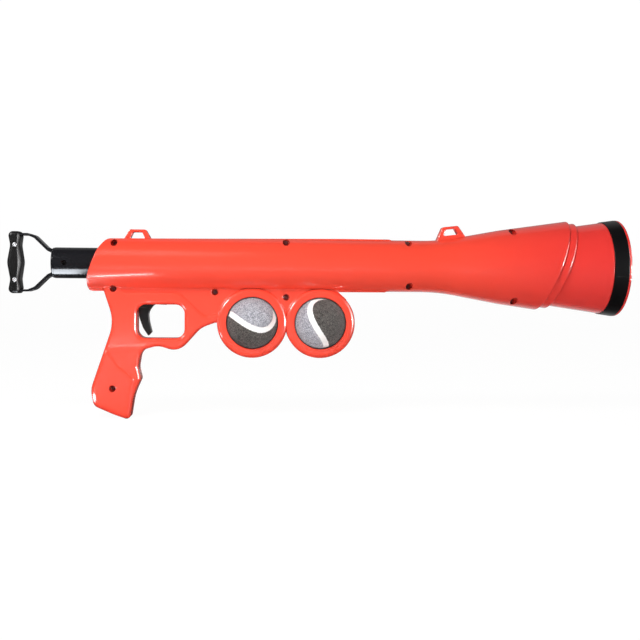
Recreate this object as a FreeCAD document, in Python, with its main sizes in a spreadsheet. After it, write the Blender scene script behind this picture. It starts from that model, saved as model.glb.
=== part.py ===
import FreeCAD, Part
import Sketcher
import math
import os

# Hand-held ball launcher, millimetres. X runs along the bore towards the muzzle, Z is up,
# Y = 0 is the plane where the two body shells meet, and the origin is the centre of the
# muzzle rim. Pulling the D-handle back draws the plunger tube out of the body against the
# drive spring, until the trigger's hook drops into the slot under the tube.

SIZES = [
    # body tube, flare and muzzle
    ("barrelRadius", 29.5), ("barrelWall", 2.8), ("flareWall", 3.4), ("flareStart", 207.3),
    ("flareKnee", 138.0), ("flareKneeRadius", 42.3), ("flareSlope", 0.144),
    ("shellEnd", 77.0), ("shellEndLean", 18.8), ("collarStep", 10.0), ("collarEndLean", 17.7),
    ("coneMouthRadius", 55.2), ("coneSlope", 0.145), ("coneWall", 3.0), ("sleeveGrip", 28.0),
    ("sleeveBead", 1.2), ("sleeveBeadWidth", 4.0), ("lipLength", 3.0),
    ("bandWidth", 16.0), ("bandGroove", 1.2), ("bandProud", 0.8),
    # receiver
    ("bodyLength", 602.6), ("receiverLength", 337.6), ("topRise", 0.6), ("rearDrop", 2.0),
    ("railHalf", 7.0), ("keelHalf", 10.0), ("keelDrop", 1.6), ("rearWall", 20.6),
    # plates, grip and ball holders
    ("webHalf", 11.5), ("guardHalf", 13.5), ("gripHalf", 14.6), ("gripWall", 3.0),
    ("guardSetback", 80.6), ("guardDrop", 35.0), ("guardHoleLength", 52.7),
    ("guardHoleHeight", 37.7), ("ballRadius", 32.5), ("ballGap", 0.3), ("holderRim", 6.7),
    ("holderHalf", 15.2), ("holderDrop", 3.5), ("holderSetback", 182.6), ("holderPitch", 76.6),
    # strap loops
    ("loopHalf", 6.0), ("rearLoopSetback", 54.2), ("frontLoopSetback", 13.8),
    ("frontLoopLean", 6.5),
    # case screws
    ("bossRadius", 3.8), ("recessRadius", 3.75), ("recessWall", 1.2), ("screwSeat", 6.0),
    ("screwRadius", 1.5), ("screwHeadRadius", 3.1), ("screwHeadHeight", 2.0), ("screwGrip", 15.0),
    ("fitGap", 0.05),
    # plunger
    ("tubeRadius", 17.2), ("tubeWall", 2.0), ("tubeProud", 36.9), ("tubeNose", 145.0),
    ("tubeBodyGap", 0.8), ("runningGap", 0.06), ("stroke", 115.0), ("catchAhead", 24.0),
    ("springLength", 138.5), ("collarLength", 6.0), ("collarHeight", 3.0),
    ("crossPinRadius", 1.5), ("bufferLength", 8.0), ("bufferRadius", 21.5), ("guideLength", 12.0),
    ("ribWidth", 2.0), ("ribRadius", 22.0), ("bushingDepth", 35.6), ("bushingLength", 11.0),
    ("bushingRadius", 24.0), ("bulkheadDepth", 49.6), ("seatAhead", 13.0),
    ("washerThickness", 1.5), ("springWire", 0.9), ("springTurns", 10), ("springTubeGap", 1.2),
    ("restGap", 0.3), ("headOversize", 1.3), ("headFlange", 8.0), ("headPlug", 20.0),
    ("padInset", 0.5), ("padThickness", 6.0), ("padHole", 4.5),
    # trigger
    ("triggerHalf", 4.0), ("triggerSideGap", 0.6), ("pivotSetback", 57.6), ("pivotDrop", 7.5),
    ("pivotPinRadius", 2.0), ("pivotPinHalf", 10.5), ("hookGap", 0.3),
    ("returnSpringAhead", 10.5), ("returnSpringLength", 9.5), ("returnSpringRadius", 2.6),
    ("returnSpringWire", 0.4), ("returnSpringTurns", 4),
    # D-handle
    ("handleReach", 42.7), ("handleHalf", 34.4), ("gripDepth", 10.5), ("strapHalf", 8.0),
    ("strapThickness", 2.4), ("barThickness", 4.4), ("handleScrewInset", 15.0),
    ("yokePlug", 27.5), ("yokeScrewInset", 12.3), ("yokeScrewRecess", 3.0), ("yokeScrewDepth", 4.5),
    ("gripRound", 4.0), ("gripHeadRadius", 2.65), ("gripHeadSunk", 1.6),
]

# what follows from the sizes: a place behind the muzzle rim, a height or a radius
PLACES = {
    "receiverRear": "bodyLength", "receiverFront": "bodyLength - receiverLength",
    "receiverTop": "barrelRadius + topRise",
    "rearTop": "barrelRadius - rearDrop", "barrelBore": "barrelRadius - barrelWall",
    "collarEnd": "shellEnd - collarStep", "sleeveRear": "shellEnd + sleeveGrip",
    "guardX": "bodyLength - guardSetback", "guardZ": "-1 * barrelRadius - guardDrop",
    "holderRadius": "ballRadius + ballGap + holderRim", "rearHolderX": "bodyLength - holderSetback",
    "holderZ": "-1 * barrelRadius - holderDrop - ballRadius",
    "rearLoopX": "bodyLength - rearLoopSetback", "rearLoopZ": "rearTop - 1",
    "frontLoopX": "flareStart - frontLoopSetback", "frontLoopZ": "barrelRadius + 4.9",
    "tubeRear": "bodyLength + tubeProud", "tubeBore": "tubeRadius - tubeWall",
    "pivotX": "bodyLength - pivotSetback", "pivotZ": "-1 * barrelRadius - pivotDrop",
    "catchX": "pivotX - catchAhead", "springSeat": "catchX - seatAhead",
    "collarFront": "springSeat - washerThickness - springLength - collarLength",
    "collarRadius": "tubeRadius + collarHeight", "tubeFront": "collarFront - tubeNose",
    "springMeanRadius": "tubeRadius + springTubeGap + springWire",
    "bushingRear": "bodyLength - bushingDepth", "bulkheadFront": "bodyLength - bulkheadDepth",
    "headRadius": "tubeRadius + headOversize", "padRadius": "headRadius - padInset",
    "returnSpringX": "catchX - returnSpringAhead", "returnSpringTop": "pivotZ + 3.5",
    "returnSpringFoot": "returnSpringTop - returnSpringLength",
    "handleBarX": "tubeRear + handleReach", "handleScrewZ": "handleHalf - handleScrewInset",
    "yokeScrewX": "tubeRear - yokeScrewInset",
}

# case screws: place behind the muzzle rim and height
SCREWS = [
    ("bodyLength - 30", "barrelRadius - 7.2"), ("bodyLength - 28.4", "-1 * barrelRadius + 1.2"),
    ("guardX + 52.8", "guardZ - 75.4"), ("rearHolderX + 41.9", "-1 * barrelRadius - 1.7"),
    ("rearHolderX - 38", "-1 * barrelRadius - 7.1"), ("rearHolderX - 37.4", "barrelRadius - 4.7"),
    ("flareStart + 36.7", "barrelRadius - 3.6"), ("flareStart + 36.1", "-1 * barrelRadius + 6.6"),
    ("flareKnee - 12.3", "flareKneeRadius - 2.7"), ("flareKnee - 14.1", "-1 * flareKneeRadius + 3.7"),
]

V = FreeCAD.Vector
X_AXIS, Y_AXIS, Z_AXIS = V(1, 0, 0), V(0, 1, 0), V(0, 0, 1)
FAR = 900.0            # reach of cutting blocks, larger than the launcher

doc = FreeCAD.newDocument("ball_launcher")
sheet = doc.addObject("Spreadsheet::Sheet", "sizes")
for row, (alias, value) in enumerate(SIZES, start=1):
    sheet.set(f"A{row}", alias)
    sheet.set(f"B{row}", str(value))
    sheet.setAlias(f"B{row}", alias)
doc.recompute()

PLANES = {
    "XY_Plane": FreeCAD.Rotation(),
    "XZ_Plane": FreeCAD.Rotation(X_AXIS, 90),
    "YZ_Plane": FreeCAD.Rotation(Y_AXIS, Z_AXIS, X_AXIS, "ZXY"),
}


def expression(text):
    """A formula in the sheet's own names: a place gives its formula, a size its alias."""
    known = {alias for alias, _ in SIZES}
    words = []
    for word in str(text).replace("(", " ( ").replace(")", " ) ").split():
        if word in PLACES:
            word = f"( {expression(PLACES[word])} )"
        elif word in known:
            word = "sizes." + word
        words.append(word)
    return " ".join(words)


def number(text):
    return float(sheet.evalExpression(expression(text)))


def bind(item, **formulas):
    for name, text in formulas.items():
        item.setExpression(name, expression(text))


def anchored(x, z, corners):
    """Corners given as distances from a point (x, z)."""
    return [(f"{x} + {ahead}", f"{z} + {up}", str(radius)) for ahead, up, radius in corners]


def mirrored_z(corners):
    return [(x, f"-1 * ( {z} )", radius) for x, z, radius in reversed(corners)]


def draw_loop(sketch, corners):
    """A closed loop through the corners, each (x, y, radius): radius 0 leaves it sharp."""
    points = [V(number(x), number(y), 0) for x, y, _ in corners]
    radii = [number(radius) for _, _, radius in corners]
    count = len(points)
    joints = []
    for i, point in enumerate(points):
        back = (points[i - 1] - point).normalize()
        ahead = (points[(i + 1) % count] - point).normalize()
        half = back.getAngle(ahead) / 2
        reach = radii[i] / math.tan(half)
        middle = (back + ahead).normalize() * (radii[i] / math.sin(half))
        joints.append((point + back * reach, point + ahead * reach, point + middle))
    for i, point in enumerate(points):
        following = points[(i + 1) % count]
        used = (joints[i][1] - point).Length + (joints[(i + 1) % count][0] - following).Length
        if used > (following - point).Length:
            raise RuntimeError(f"{sketch.Name}: corners {i} and {i + 1} are rounded too far")
    lines = [
        sketch.addGeometry(Part.LineSegment(joints[i][1], joints[(i + 1) % count][0]), False)
        for i in range(count)
    ]
    for i, (x, y, radius) in enumerate(corners):
        before, after = lines[i - 1], lines[i]
        if radii[i] == 0:
            sketch.addConstraint(Sketcher.Constraint("Coincident", before, 2, after, 1))
            corner = (after, 1)
        else:
            start, end, centre = joints[i]
            turn = (start - centre).cross(end - centre).z
            first, last = (start, end) if turn > 0 else (end, start)
            angles = [math.atan2((p - centre).y, (p - centre).x) for p in (first, last)]
            circle = Part.Circle(centre, Z_AXIS, radii[i])
            arc = sketch.addGeometry(Part.ArcOfCircle(circle, *angles), False)
            begin, finish = (1, 2) if turn > 0 else (2, 1)
            point = sketch.addGeometry(Part.Point(points[i]), True)
            sketch.addConstraint([
                Sketcher.Constraint("Tangent", before, 2, arc, begin),
                Sketcher.Constraint("Tangent", arc, finish, after, 1),
                Sketcher.Constraint("PointOnObject", point, 1, before),
                Sketcher.Constraint("PointOnObject", point, 1, after),
            ])
            size = sketch.addConstraint(Sketcher.Constraint("Radius", arc, radii[i]))
            sketch.setExpression(f"Constraints[{size}]", expression(radius))
            corner = (point, 1)
        for kind, text, value in (("DistanceX", x, points[i].x), ("DistanceY", y, points[i].y)):
            placed = sketch.addConstraint(Sketcher.Constraint(kind, -1, 1, *corner, value))
            sketch.setExpression(f"Constraints[{placed}]", expression(text))


def free_sketch(name, plane, loops, base=None):
    sketch = doc.addObject("Sketcher::SketchObject", name)
    sketch.Placement = FreeCAD.Placement(base or V(), PLANES[plane])
    for corners in loops:
        draw_loop(sketch, corners)
    return sketch


def body_sketch(body, name, plane, loops):
    sketch = body.newObject("Sketcher::SketchObject", name)
    support = next(item for item in body.Origin.OriginFeatures if item.Role == plane)
    sketch.AttachmentSupport = [(support, "")]
    sketch.MapMode = "FlatFace"
    for corners in loops:
        draw_loop(sketch, corners)
    return sketch


def new_body(name):
    body = doc.addObject("PartDesign::Body", name)
    body.Label = name
    return body


def revolve(body, name, corners, kind="PartDesign::Revolution"):
    """Turns a profile of (x, radius, corner radius) about the bore axis."""
    turned = body.newObject(kind, name)
    sketch = body_sketch(body, name + "_sketch", "XY_Plane", [corners])
    turned.Profile = sketch
    turned.ReferenceAxis = (sketch, ["H_Axis"])
    turned.Angle = 360
    return turned


def pad(body, name, loops, half, plane="XZ_Plane"):
    """Pads loops by the same distance to both sides of the plane."""
    grown = body.newObject("PartDesign::Pad", name)
    grown.Profile = body_sketch(body, name + "_sketch", plane, loops)
    grown.SideType = "Symmetric"
    bind(grown, Length=f"2 * ( {half} )")
    return grown


def cut_volume(body, feature):
    """Recomputes and makes sure that a cut took something away."""
    doc.recompute()
    if feature.Shape.Volume >= feature.BaseFeature.Shape.Volume:
        raise RuntimeError(f"{feature.Name} cuts nothing in {body.Label}")


def pocket(body, name, loops, half, plane="XZ_Plane"):
    """Cuts loops by the same distance to both sides of the plane."""
    sunk = body.newObject("PartDesign::Pocket", name)
    sunk.Profile = body_sketch(body, name + "_sketch", plane, loops)
    sunk.SideType = "Symmetric"
    bind(sunk, Length=f"2 * ( {half} )")
    cut_volume(body, sunk)
    return sunk


def box_loop(low_x, high_x, low_y, high_y, radius="0"):
    return [(low_x, low_y, radius), (high_x, low_y, radius),
            (high_x, high_y, radius), (low_x, high_y, radius)]


def slab(name, plane, loops, half):
    """A free extrusion, half to each side of its plane."""
    sketch = free_sketch(name + "_sketch", plane, loops)
    grown = doc.addObject("Part::Extrusion", name)
    grown.Base = sketch
    grown.DirMode = "Normal"
    grown.Solid = True
    grown.Symmetric = True
    bind(grown, LengthFwd=f"2 * ( {half} )")
    return grown


def spun(name, corners):
    """A free revolution about the bore axis."""
    turned = doc.addObject("Part::Revolution", name)
    turned.Source = free_sketch(name + "_sketch", "XY_Plane", [corners])
    turned.Axis = X_AXIS
    turned.Angle = 360
    turned.Solid = True
    return turned


def cylinder(name, radius, length, base, direction):
    rod = doc.addObject("Part::Cylinder", name)
    bind(rod, Radius=radius, Height=length)
    rod.Placement = FreeCAD.Placement(base, FreeCAD.Rotation(Z_AXIS, direction))
    return rod


def boolean(kind, name, base, tool):
    joined = doc.addObject("Part::" + kind, name)
    joined.Base = base
    joined.Tool = tool
    return joined


def fused(name, items):
    joined = doc.addObject("Part::MultiFuse", name)
    joined.Shapes = items
    return joined


def rounded(name, base, radius, chosen):
    """Fillets the edges that the test picks."""
    doc.recompute()
    soft = doc.addObject("Part::Fillet", name)
    soft.Base = base
    size = number(radius)
    picked = [(i, size, size) for i, edge in enumerate(base.Shape.Edges, start=1) if chosen(edge)]
    soft.Edges = picked
    return soft


def lies_at_y(edge, level):
    box = edge.BoundBox
    return abs(abs(box.YMin) - level) < 0.01 and abs(abs(box.YMax) - level) < 0.01 \
        and box.YLength < 0.01


def leaning_block(name, x, lean):
    """A block that holds everything in front of a plane leaning forward at its top."""
    block = doc.addObject("Part::Box", name)
    bind(block, Length=FAR, Width=FAR, Height=FAR)
    turn = FreeCAD.Rotation(Y_AXIS, number(lean))
    corner = turn.multVec(V(0, -FAR / 2, -FAR / 2))
    block.Placement = FreeCAD.Placement(V(-number(x), 0, 0) + corner, turn)
    return block


# ---- outer form of the two shells

# the flare is drawn on to just behind the muzzle band and then cut off by a leaning plane
FLARE_FRONT = "-1 * bandWidth - lipLength - 1"
FLARE_FRONT_RADIUS = "flareKneeRadius + flareSlope * ( flareKnee - bandWidth - lipLength - 1 )"
GUARD = ("-1 * guardX", "guardZ")
REAR_BALL = ("-1 * rearHolderX", "holderZ")
FRONT_BALL = ("-1 * rearHolderX + holderPitch", "holderZ")


def flare_line(inset):
    """The flare's side from its start to past the muzzle, moved in by a wall."""
    return [
        ("-1 * flareStart", f"barrelRadius - {inset}", "220"),
        ("-1 * flareKnee", f"flareKneeRadius - {inset}", "100"),
        (FLARE_FRONT, f"{FLARE_FRONT_RADIUS} - {inset}", "0"),
    ]


def receiver_form():
    """The round receiver with a flat rail on top and a keel below, cut to its side outline."""
    front = "-1 * receiverFront"
    core = spun("receiver_core", [
        ("-1 * receiverRear - 10", "0", "0"), (f"{front} - 8", "0", "0"),
        (f"{front} - 8", "barrelRadius", "0"), ("-1 * receiverRear - 10", "barrelRadius", "0"),
    ])
    rail = slab("receiver_rail", "XZ_Plane", [
        box_loop("-1 * receiverRear - 10", f"{front} + 10", "0", "receiverTop + 10")], "railHalf")
    keel = slab("receiver_keel", "XZ_Plane", [
        box_loop("-1 * receiverRear - 10", f"{front} + 10", "-1 * receiverTop - 10", "0")],
        "keelHalf")
    side = slab("receiver_side", "XZ_Plane", [[
        ("-1 * receiverRear + 21.6", "rearTop", "8"),
        ("-1 * receiverRear + 13.1", "rearTop - 11", "40"),
        ("-1 * receiverRear + 1.2", "-14.5", "40"),
        ("-1 * receiverRear", "-1 * barrelRadius - keelDrop", "5"),
        (f"{front} - 5", "-1 * barrelRadius - topRise", "3"),
        (f"{front} + 3", "-1 * barrelRadius + 3", "0"),
        (f"{front} + 6", "barrelRadius - 2", "0"),
        (front, "receiverTop", "6"),
        (f"{front} - 55", "receiverTop", "200"),
    ]], "barrelRadius + 20")
    return boolean("Common", "receiver_form", fused("receiver_bar", [core, rail, keel]), side)


def plate_forms():
    web = slab("web_form", "XZ_Plane", [
        anchored(*GUARD, [(-64, 44.5, 0)])
        + anchored(*FRONT_BALL, [(22.4, 45.2, 0), (19.9, 35.7, 2), (29.4, 27.2, 0), (0, 1.2, 0),
                                 (-22.6, 15.2, 0), (-38.3, 5.2, 6)])
        + anchored(*REAR_BALL, [(22, 15.2, 0), (0, 1.2, 0), (-58, -0.8, 0), (-70, 23.2, 0)])
        + anchored(*GUARD, [(-54, 22.5, 0)])
    ], "webHalf")
    bridge = slab("holder_bridge", "XZ_Plane", [[
        ("-1 * rearHolderX + holderPitch / 2 - 11", "holderZ - 15", "0"),
        ("-1 * rearHolderX + holderPitch / 2", "holderZ - 9", "4"),
        ("-1 * rearHolderX + holderPitch / 2 + 11", "holderZ - 15", "0"),
        ("-1 * rearHolderX + holderPitch / 2 + 11", "holderZ + 15", "0"),
        ("-1 * rearHolderX + holderPitch / 2 - 11", "holderZ + 15", "0"),
    ]], "webHalf")
    outline = anchored(*GUARD, [
        (-68.6, 50.5, 5), (-51.8, -0.5, 45), (-77.4, -76.5, 25), (-73.8, -95, 9),
        (-52, -104.6, 60), (-34, -110.9, 4.5), (-29.6, -82.5, 60), (-21.8, -64.6, 4.5),
        (-24.9, -51.5, 14), (-21.6, -32.6, 11), (-3, -27.1, 22), (20, -34.5, 18), (44.5, -7, 30),
        (76, 4.5, 4), (84, 20.5, 4), (70, 12.5, 6), (49.5, 6.5, 8),
        (20.5, 33.3, 12), (-42, 33.3, 8), (-48.5, 50.5, 5),
    ])
    hole = box_loop("-1 * guardX - guardHoleLength / 2", "-1 * guardX + guardHoleLength / 2",
                    "guardZ - guardHoleHeight / 2", "guardZ + guardHoleHeight / 2", "10")
    plate = slab("guard_plate", "XZ_Plane", [outline, hole], "guardHalf")
    level = number("guardHalf")
    guard = rounded("guard_form", plate, "4", lambda edge: lies_at_y(edge, level))
    swell = slab("grip_plate", "XZ_Plane", [anchored(*GUARD, [
        (-60, -25, 4), (-77, -76.5, 25), (-73.5, -94.7, 9), (-52, -104.2, 60),
        (-34.4, -110.4, 5), (-30.2, -82.5, 60), (-27, -63.5, 5), (-46, -48, 12),
    ])], "gripHalf")
    top = number("gripHalf")
    grip = rounded("grip_form", swell, "5", lambda edge: lies_at_y(edge, top))
    return [web, bridge, guard, grip]


def holder_forms():
    discs = []
    for index in range(2):
        x = -number(f"rearHolderX - {index} * holderPitch")
        start = V(x, -number("holderHalf"), number("holderZ"))
        disc = cylinder(f"holder_disc_{index}", "holderRadius", "2 * holderHalf", start, Y_AXIS)
        level = number("holderHalf")
        discs.append(rounded(f"holder_form_{index}", disc, "5",
                             lambda edge: lies_at_y(edge, level)))
    return discs


def loop_form(name, x, z, lean):
    """A trapezoid strap loop with a trapezoid slot, standing on the body."""
    plate = slab(name + "_plate", "XZ_Plane", [
        [("-18.4", "-5", "0"), ("-9", "11.6", "3"), ("9", "11.6", "3"), ("18.4", "-5", "0")],
        [("-8.2", "1.6", "0.8"), ("-5", "8.6", "1.5"), ("5", "8.6", "1.5"), ("8.2", "1.6", "0.8")],
    ], "loopHalf")
    level = number("loopHalf")
    soft = rounded(name, plate, "1.1", lambda edge: lies_at_y(edge, level))
    turn = FreeCAD.Rotation(Y_AXIS, -number(lean))
    soft.Placement = FreeCAD.Placement(V(-number(x), 0, number(z)), turn)
    return soft


def outer_form():
    tube = spun("barrel_form", [("-1 * receiverFront - 60", "0", "0"),
                                ("-1 * receiverFront - 60", "barrelRadius", "0")]
                + flare_line("0") + [(FLARE_FRONT, "0", "0")])
    front = leaning_block("shell_end_block", "shellEnd", "shellEndLean")
    cut = boolean("Cut", "barrel_cut", tube, front)
    reach = number("-1 * shellEnd - 30")
    barrel = rounded("barrel_round", cut, "1.4", lambda edge: edge.BoundBox.XMin > reach
                     and edge.BoundBox.XLength > 5 and edge.BoundBox.YLength > 60)
    loops = [loop_form("rear_loop_form", "rearLoopX", "rearLoopZ", "0"),
             loop_form("front_loop_form", "frontLoopX", "frontLoopZ", "frontLoopLean")]
    return fused("outer_form", [barrel, receiver_form()] + plate_forms() + holder_forms() + loops)


# ---- hollows of the two shells

def bore_form():
    """The stepped bore: rear opening, bushing pocket, spring chamber, guide pocket, flare."""
    guide_rear = "-1 * collarFront + restGap + bufferLength"
    guide_front = f"{guide_rear} + guideLength + 2 * fitGap"
    inner = "barrelRadius - barrelWall"
    return spun("bore_form", [
        ("-1 * receiverRear - 20", "0", "0"),
        ("-1 * receiverRear - 20", "tubeRadius + tubeBodyGap", "0"),
        ("-1 * receiverRear + rearWall", "tubeRadius + tubeBodyGap", "0"),
        ("-1 * receiverRear + rearWall", "ribRadius", "0"),
        ("-1 * bushingRear", "ribRadius", "0"),
        ("-1 * bushingRear", "bushingRadius + fitGap", "0"),
        ("-1 * bushingRear + bushingLength", "bushingRadius + fitGap", "0"),
        ("-1 * bushingRear + bushingLength", "ribRadius", "0"),
        ("-1 * bulkheadFront", "ribRadius", "0"),
        ("-1 * bulkheadFront", inner, "0"),
        ("-1 * springSeat - ribWidth", inner, "0"),
        ("-1 * springSeat - ribWidth", "ribRadius", "0"),
        ("-1 * springSeat", "ribRadius", "0"),
        ("-1 * springSeat", inner, "0"),
        (f"{guide_rear} - ribWidth", inner, "0"),
        (f"{guide_rear} - ribWidth", "ribRadius", "0"),
        (guide_rear, "ribRadius", "0"),
        (guide_rear, inner, "0"),
        (guide_front, inner, "0"),
        (guide_front, "ribRadius", "0"),
        (f"{guide_front} + ribWidth", "ribRadius", "0"),
        (f"{guide_front} + ribWidth", inner, "0"),
        ("-1 * flareStart - 45", inner, "0"),
        ("-1 * flareStart - 40", "barrelRadius - flareWall", "0"),
    ] + flare_line("flareWall") + [(FLARE_FRONT, "0", "0")])


def bead_groove():
    """The ring groove inside the flare that the muzzle sleeve's bead sits in."""
    return spun("bead_groove", bead_profile("fitGap", "2"))


def bead_profile(gap, depth):
    """A ring around the sleeve's rear end; depth is how far it reaches into the sleeve."""
    rear = f"-1 * sleeveRear + 4 - {gap}"
    front = f"-1 * sleeveRear + 4 + sleeveBeadWidth + {gap}"
    shell = "( flareKneeRadius - flareWall + flareSlope * ( flareKnee - sleeveRear + {} ) )"
    low, high = shell.format("4"), shell.format("4 + sleeveBeadWidth")
    return [(rear, f"{low} - {depth}", "0"), (front, f"{high} - {depth}", "0"),
            (front, f"{high} + sleeveBead + {gap}", "0"),
            (rear, f"{low} + sleeveBead + {gap}", "0")]


def trigger_pocket():
    """The slot that the trigger swings in, from the guard hole up into the receiver."""
    return slab("trigger_pocket", "XZ_Plane", [[
        ("-1 * pivotX - 8.5", "guardZ - guardHoleHeight / 2 + 1.5", "0"),
        ("-1 * pivotX + 17", "guardZ - guardHoleHeight / 2 + 1.5", "0"),
        ("-1 * pivotX + 17", "guardZ + guardHoleHeight / 2 - 2", "0"),
        ("-1 * pivotX + 31.2", "guardZ + guardHoleHeight / 2 - 2", "0"),
        ("-1 * pivotX + 31.2", "returnSpringFoot", "0"),
        ("-1 * pivotX + 39.5", "returnSpringFoot", "0"),
        ("-1 * pivotX + 39.5", "-1 * barrelRadius + barrelWall + 2", "0"),
        ("-1 * pivotX - 8.5", "-1 * barrelRadius + barrelWall + 2", "0"),
    ]], "triggerHalf + triggerSideGap")


def grip_hollow():
    return slab("grip_hollow", "XZ_Plane", [anchored(*GUARD, [
        (-55.5, 22.5, 3), (-48, -1.5, 41), (-73.4, -76.5, 20), (-70.2, -91.4, 6),
        (-38.4, -104.4, 2), (-33.4, -81.5, 50), (-27.4, -64.5, 5), (-29.4, -51, 12),
        (-34.5, -23.5, 20), (-34.5, 22.5, 3),
    ])], "guardHalf - gripWall + 1")


def screw_places():
    return [(-number(behind), number(height)) for behind, height in SCREWS]


def screw_pillars():
    """Round pillars at each case screw, wider round the sunk head, for both shells."""
    pillars = []
    for index, (x, z) in enumerate(screw_places()):
        slim = cylinder(f"pillar_{index}", "bossRadius", "80", V(x, -40, z), Y_AXIS)
        seat = V(x, -number("screwSeat - screwHeadHeight"), z)
        wide = cylinder(f"wide_pillar_{index}", "recessRadius + recessWall", "40", seat, -Y_AXIS)
        pillars += [slim, wide]
    return fused("screw_pillars", pillars)


def screw_holes():
    holes = []
    for index, (x, z) in enumerate(screw_places()):
        seat = V(x, -number("screwSeat"), z)
        holes.append(cylinder(f"recess_{index}", "recessRadius", "60", seat, -Y_AXIS))
        end = "screwGrip + 4 * fitGap"
        holes.append(cylinder(f"screw_hole_{index}", "screwRadius + fitGap", end, seat, Y_AXIS))
    return fused("screw_holes", holes)


def holder_hollows():
    hollows = []
    for index in range(2):
        hollow = doc.addObject("Part::Sphere", f"holder_hollow_{index}")
        bind(hollow, Radius="ballRadius + ballGap")
        x = -number(f"rearHolderX - {index} * holderPitch")
        hollow.Placement.Base = V(x, 0, number("holderZ"))
        hollows.append(hollow)
    return hollows


def pivot_hole():
    reach = "pivotPinHalf + fitGap"
    start = V(-number("pivotX"), -number(reach), number("pivotZ"))
    return cylinder("pivot_hole", "pivotPinRadius + fitGap", f"2 * ( {reach} )", start, Y_AXIS)


def make_shells():
    outer = outer_form()
    hollows = fused("shell_hollows", [bore_form(), bead_groove(), trigger_pocket(), grip_hollow(),
                                      pivot_hole()] + holder_hollows())
    hollow = boolean("Cut", "hollow_form", outer, hollows)
    pillars = boolean("Common", "pillars_in_body", screw_pillars(), outer)
    with_pillars = fused("form_with_pillars", [hollow, pillars])
    whole = boolean("Cut", "shell_form", with_pillars, screw_holes())
    for name, side in (("right_shell", -1), ("left_shell", 0)):
        half_space = doc.addObject("Part::Box", name + "_side")
        bind(half_space, Length=FAR, Width=FAR / 2, Height=FAR)
        half_space.Placement.Base = V(-FAR + 50, side * FAR / 2, -FAR / 2)
        shell = boolean("Common", name + "_solid", whole, half_space)
        shell.Label = name
        keep(shell)


# ---- muzzle

def cone_radius(behind, less):
    return f"coneMouthRadius - coneSlope * ( {behind} ) - ( {less} )"


def make_muzzle():
    body = new_body("muzzle_cone")
    band_rear = "bandWidth + lipLength"
    revolve(body, "cone", [
        (f"-1 * ( {band_rear} )", cone_radius(band_rear, "bandGroove"), "0"),
        ("-1 * lipLength", cone_radius("lipLength", "bandGroove"), "0"),
        ("-1 * lipLength", cone_radius("lipLength", "-0.6"), "0"),
        ("0", cone_radius("0", "-0.4"), "1.4"),
        ("0", cone_radius("0", "coneWall"), "0.8"),
        ("-1 * sleeveRear", cone_radius("sleeveRear", "coneWall"), "2"),
        ("-1 * sleeveRear", cone_radius("sleeveRear", "0"), "0"),
        (f"-1 * ( {band_rear} )", cone_radius(band_rear, "0"), "0"),
    ])
    sleeve = spun("sleeve_form", [
        ("-1 * sleeveRear", cone_radius("sleeveRear", "coneWall - 0.1"), "0"),
        ("-1 * sleeveRear", "flareKneeRadius - flareWall + flareSlope * "
         "( flareKnee - sleeveRear ) - fitGap", "1"),
        (FLARE_FRONT, f"{FLARE_FRONT_RADIUS} - flareWall - fitGap", "0"),
        (FLARE_FRONT, cone_radius("bandWidth + lipLength + 1", "coneWall - 0.1"), "0"),
    ])
    front = leaning_block("collar_end_block", "collarEnd", "collarEndLean")
    cut = boolean("Cut", "sleeve_cut", sleeve, front)
    reach = number("-1 * collarEnd - 30")
    soft = rounded("sleeve_round", cut, "1.2", lambda edge: edge.BoundBox.XMin > reach
                   and edge.BoundBox.XLength > 5 and edge.BoundBox.YLength > 95)
    bead = spun("sleeve_bead", bead_profile("0", "2"))
    whole = fused("muzzle_cone_whole", [body, soft, bead])
    body.Label = "cone_wall"
    whole.Label = "muzzle_cone"
    keep(whole)

    band = new_body("muzzle_band")
    revolve(band, "band", [
        (f"-1 * ( {band_rear} )", cone_radius(band_rear, "bandGroove"), "0"),
        ("-1 * lipLength", cone_radius("lipLength", "bandGroove"), "0"),
        ("-1 * lipLength", cone_radius("lipLength", "0 - bandProud"), "0.6"),
        (f"-1 * ( {band_rear} )", cone_radius(band_rear, "0 - bandProud"), "0.6"),
    ])
    keep(band)


# ---- plunger and spring

def ring(name, rear, length, inner, outer, radius="0"):
    body = new_body(name)
    front = f"{rear} + {length}"
    revolve(body, name + "_ring", [(rear, inner, "0"), (front, inner, "0"),
                                   (front, outer, radius), (rear, outer, radius)])
    return body


def coil(name, length, mean, wire, turns, placement):
    """A compression spring: the wire's section swept along short chords of the helix."""
    chords = 10
    count = int(number(turns)) * chords
    reach, radius, thick = number(length), number(mean), number(wire)
    points = []
    for i in range(count + 1):
        angle = 2 * math.pi * i / chords
        along = thick + (reach - 2 * thick) * i / count
        points.append(V(radius * math.cos(angle), radius * math.sin(angle), along))
    path = Part.makePolygon(points)
    section = Part.Wire(Part.makeCircle(thick, points[0], points[1] - points[0]))
    spring = doc.addObject("Part::Feature", name)
    spring.Shape = path.makePipeShell([section], True, False, 1)
    spring.Placement = placement
    keep(spring)


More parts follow.
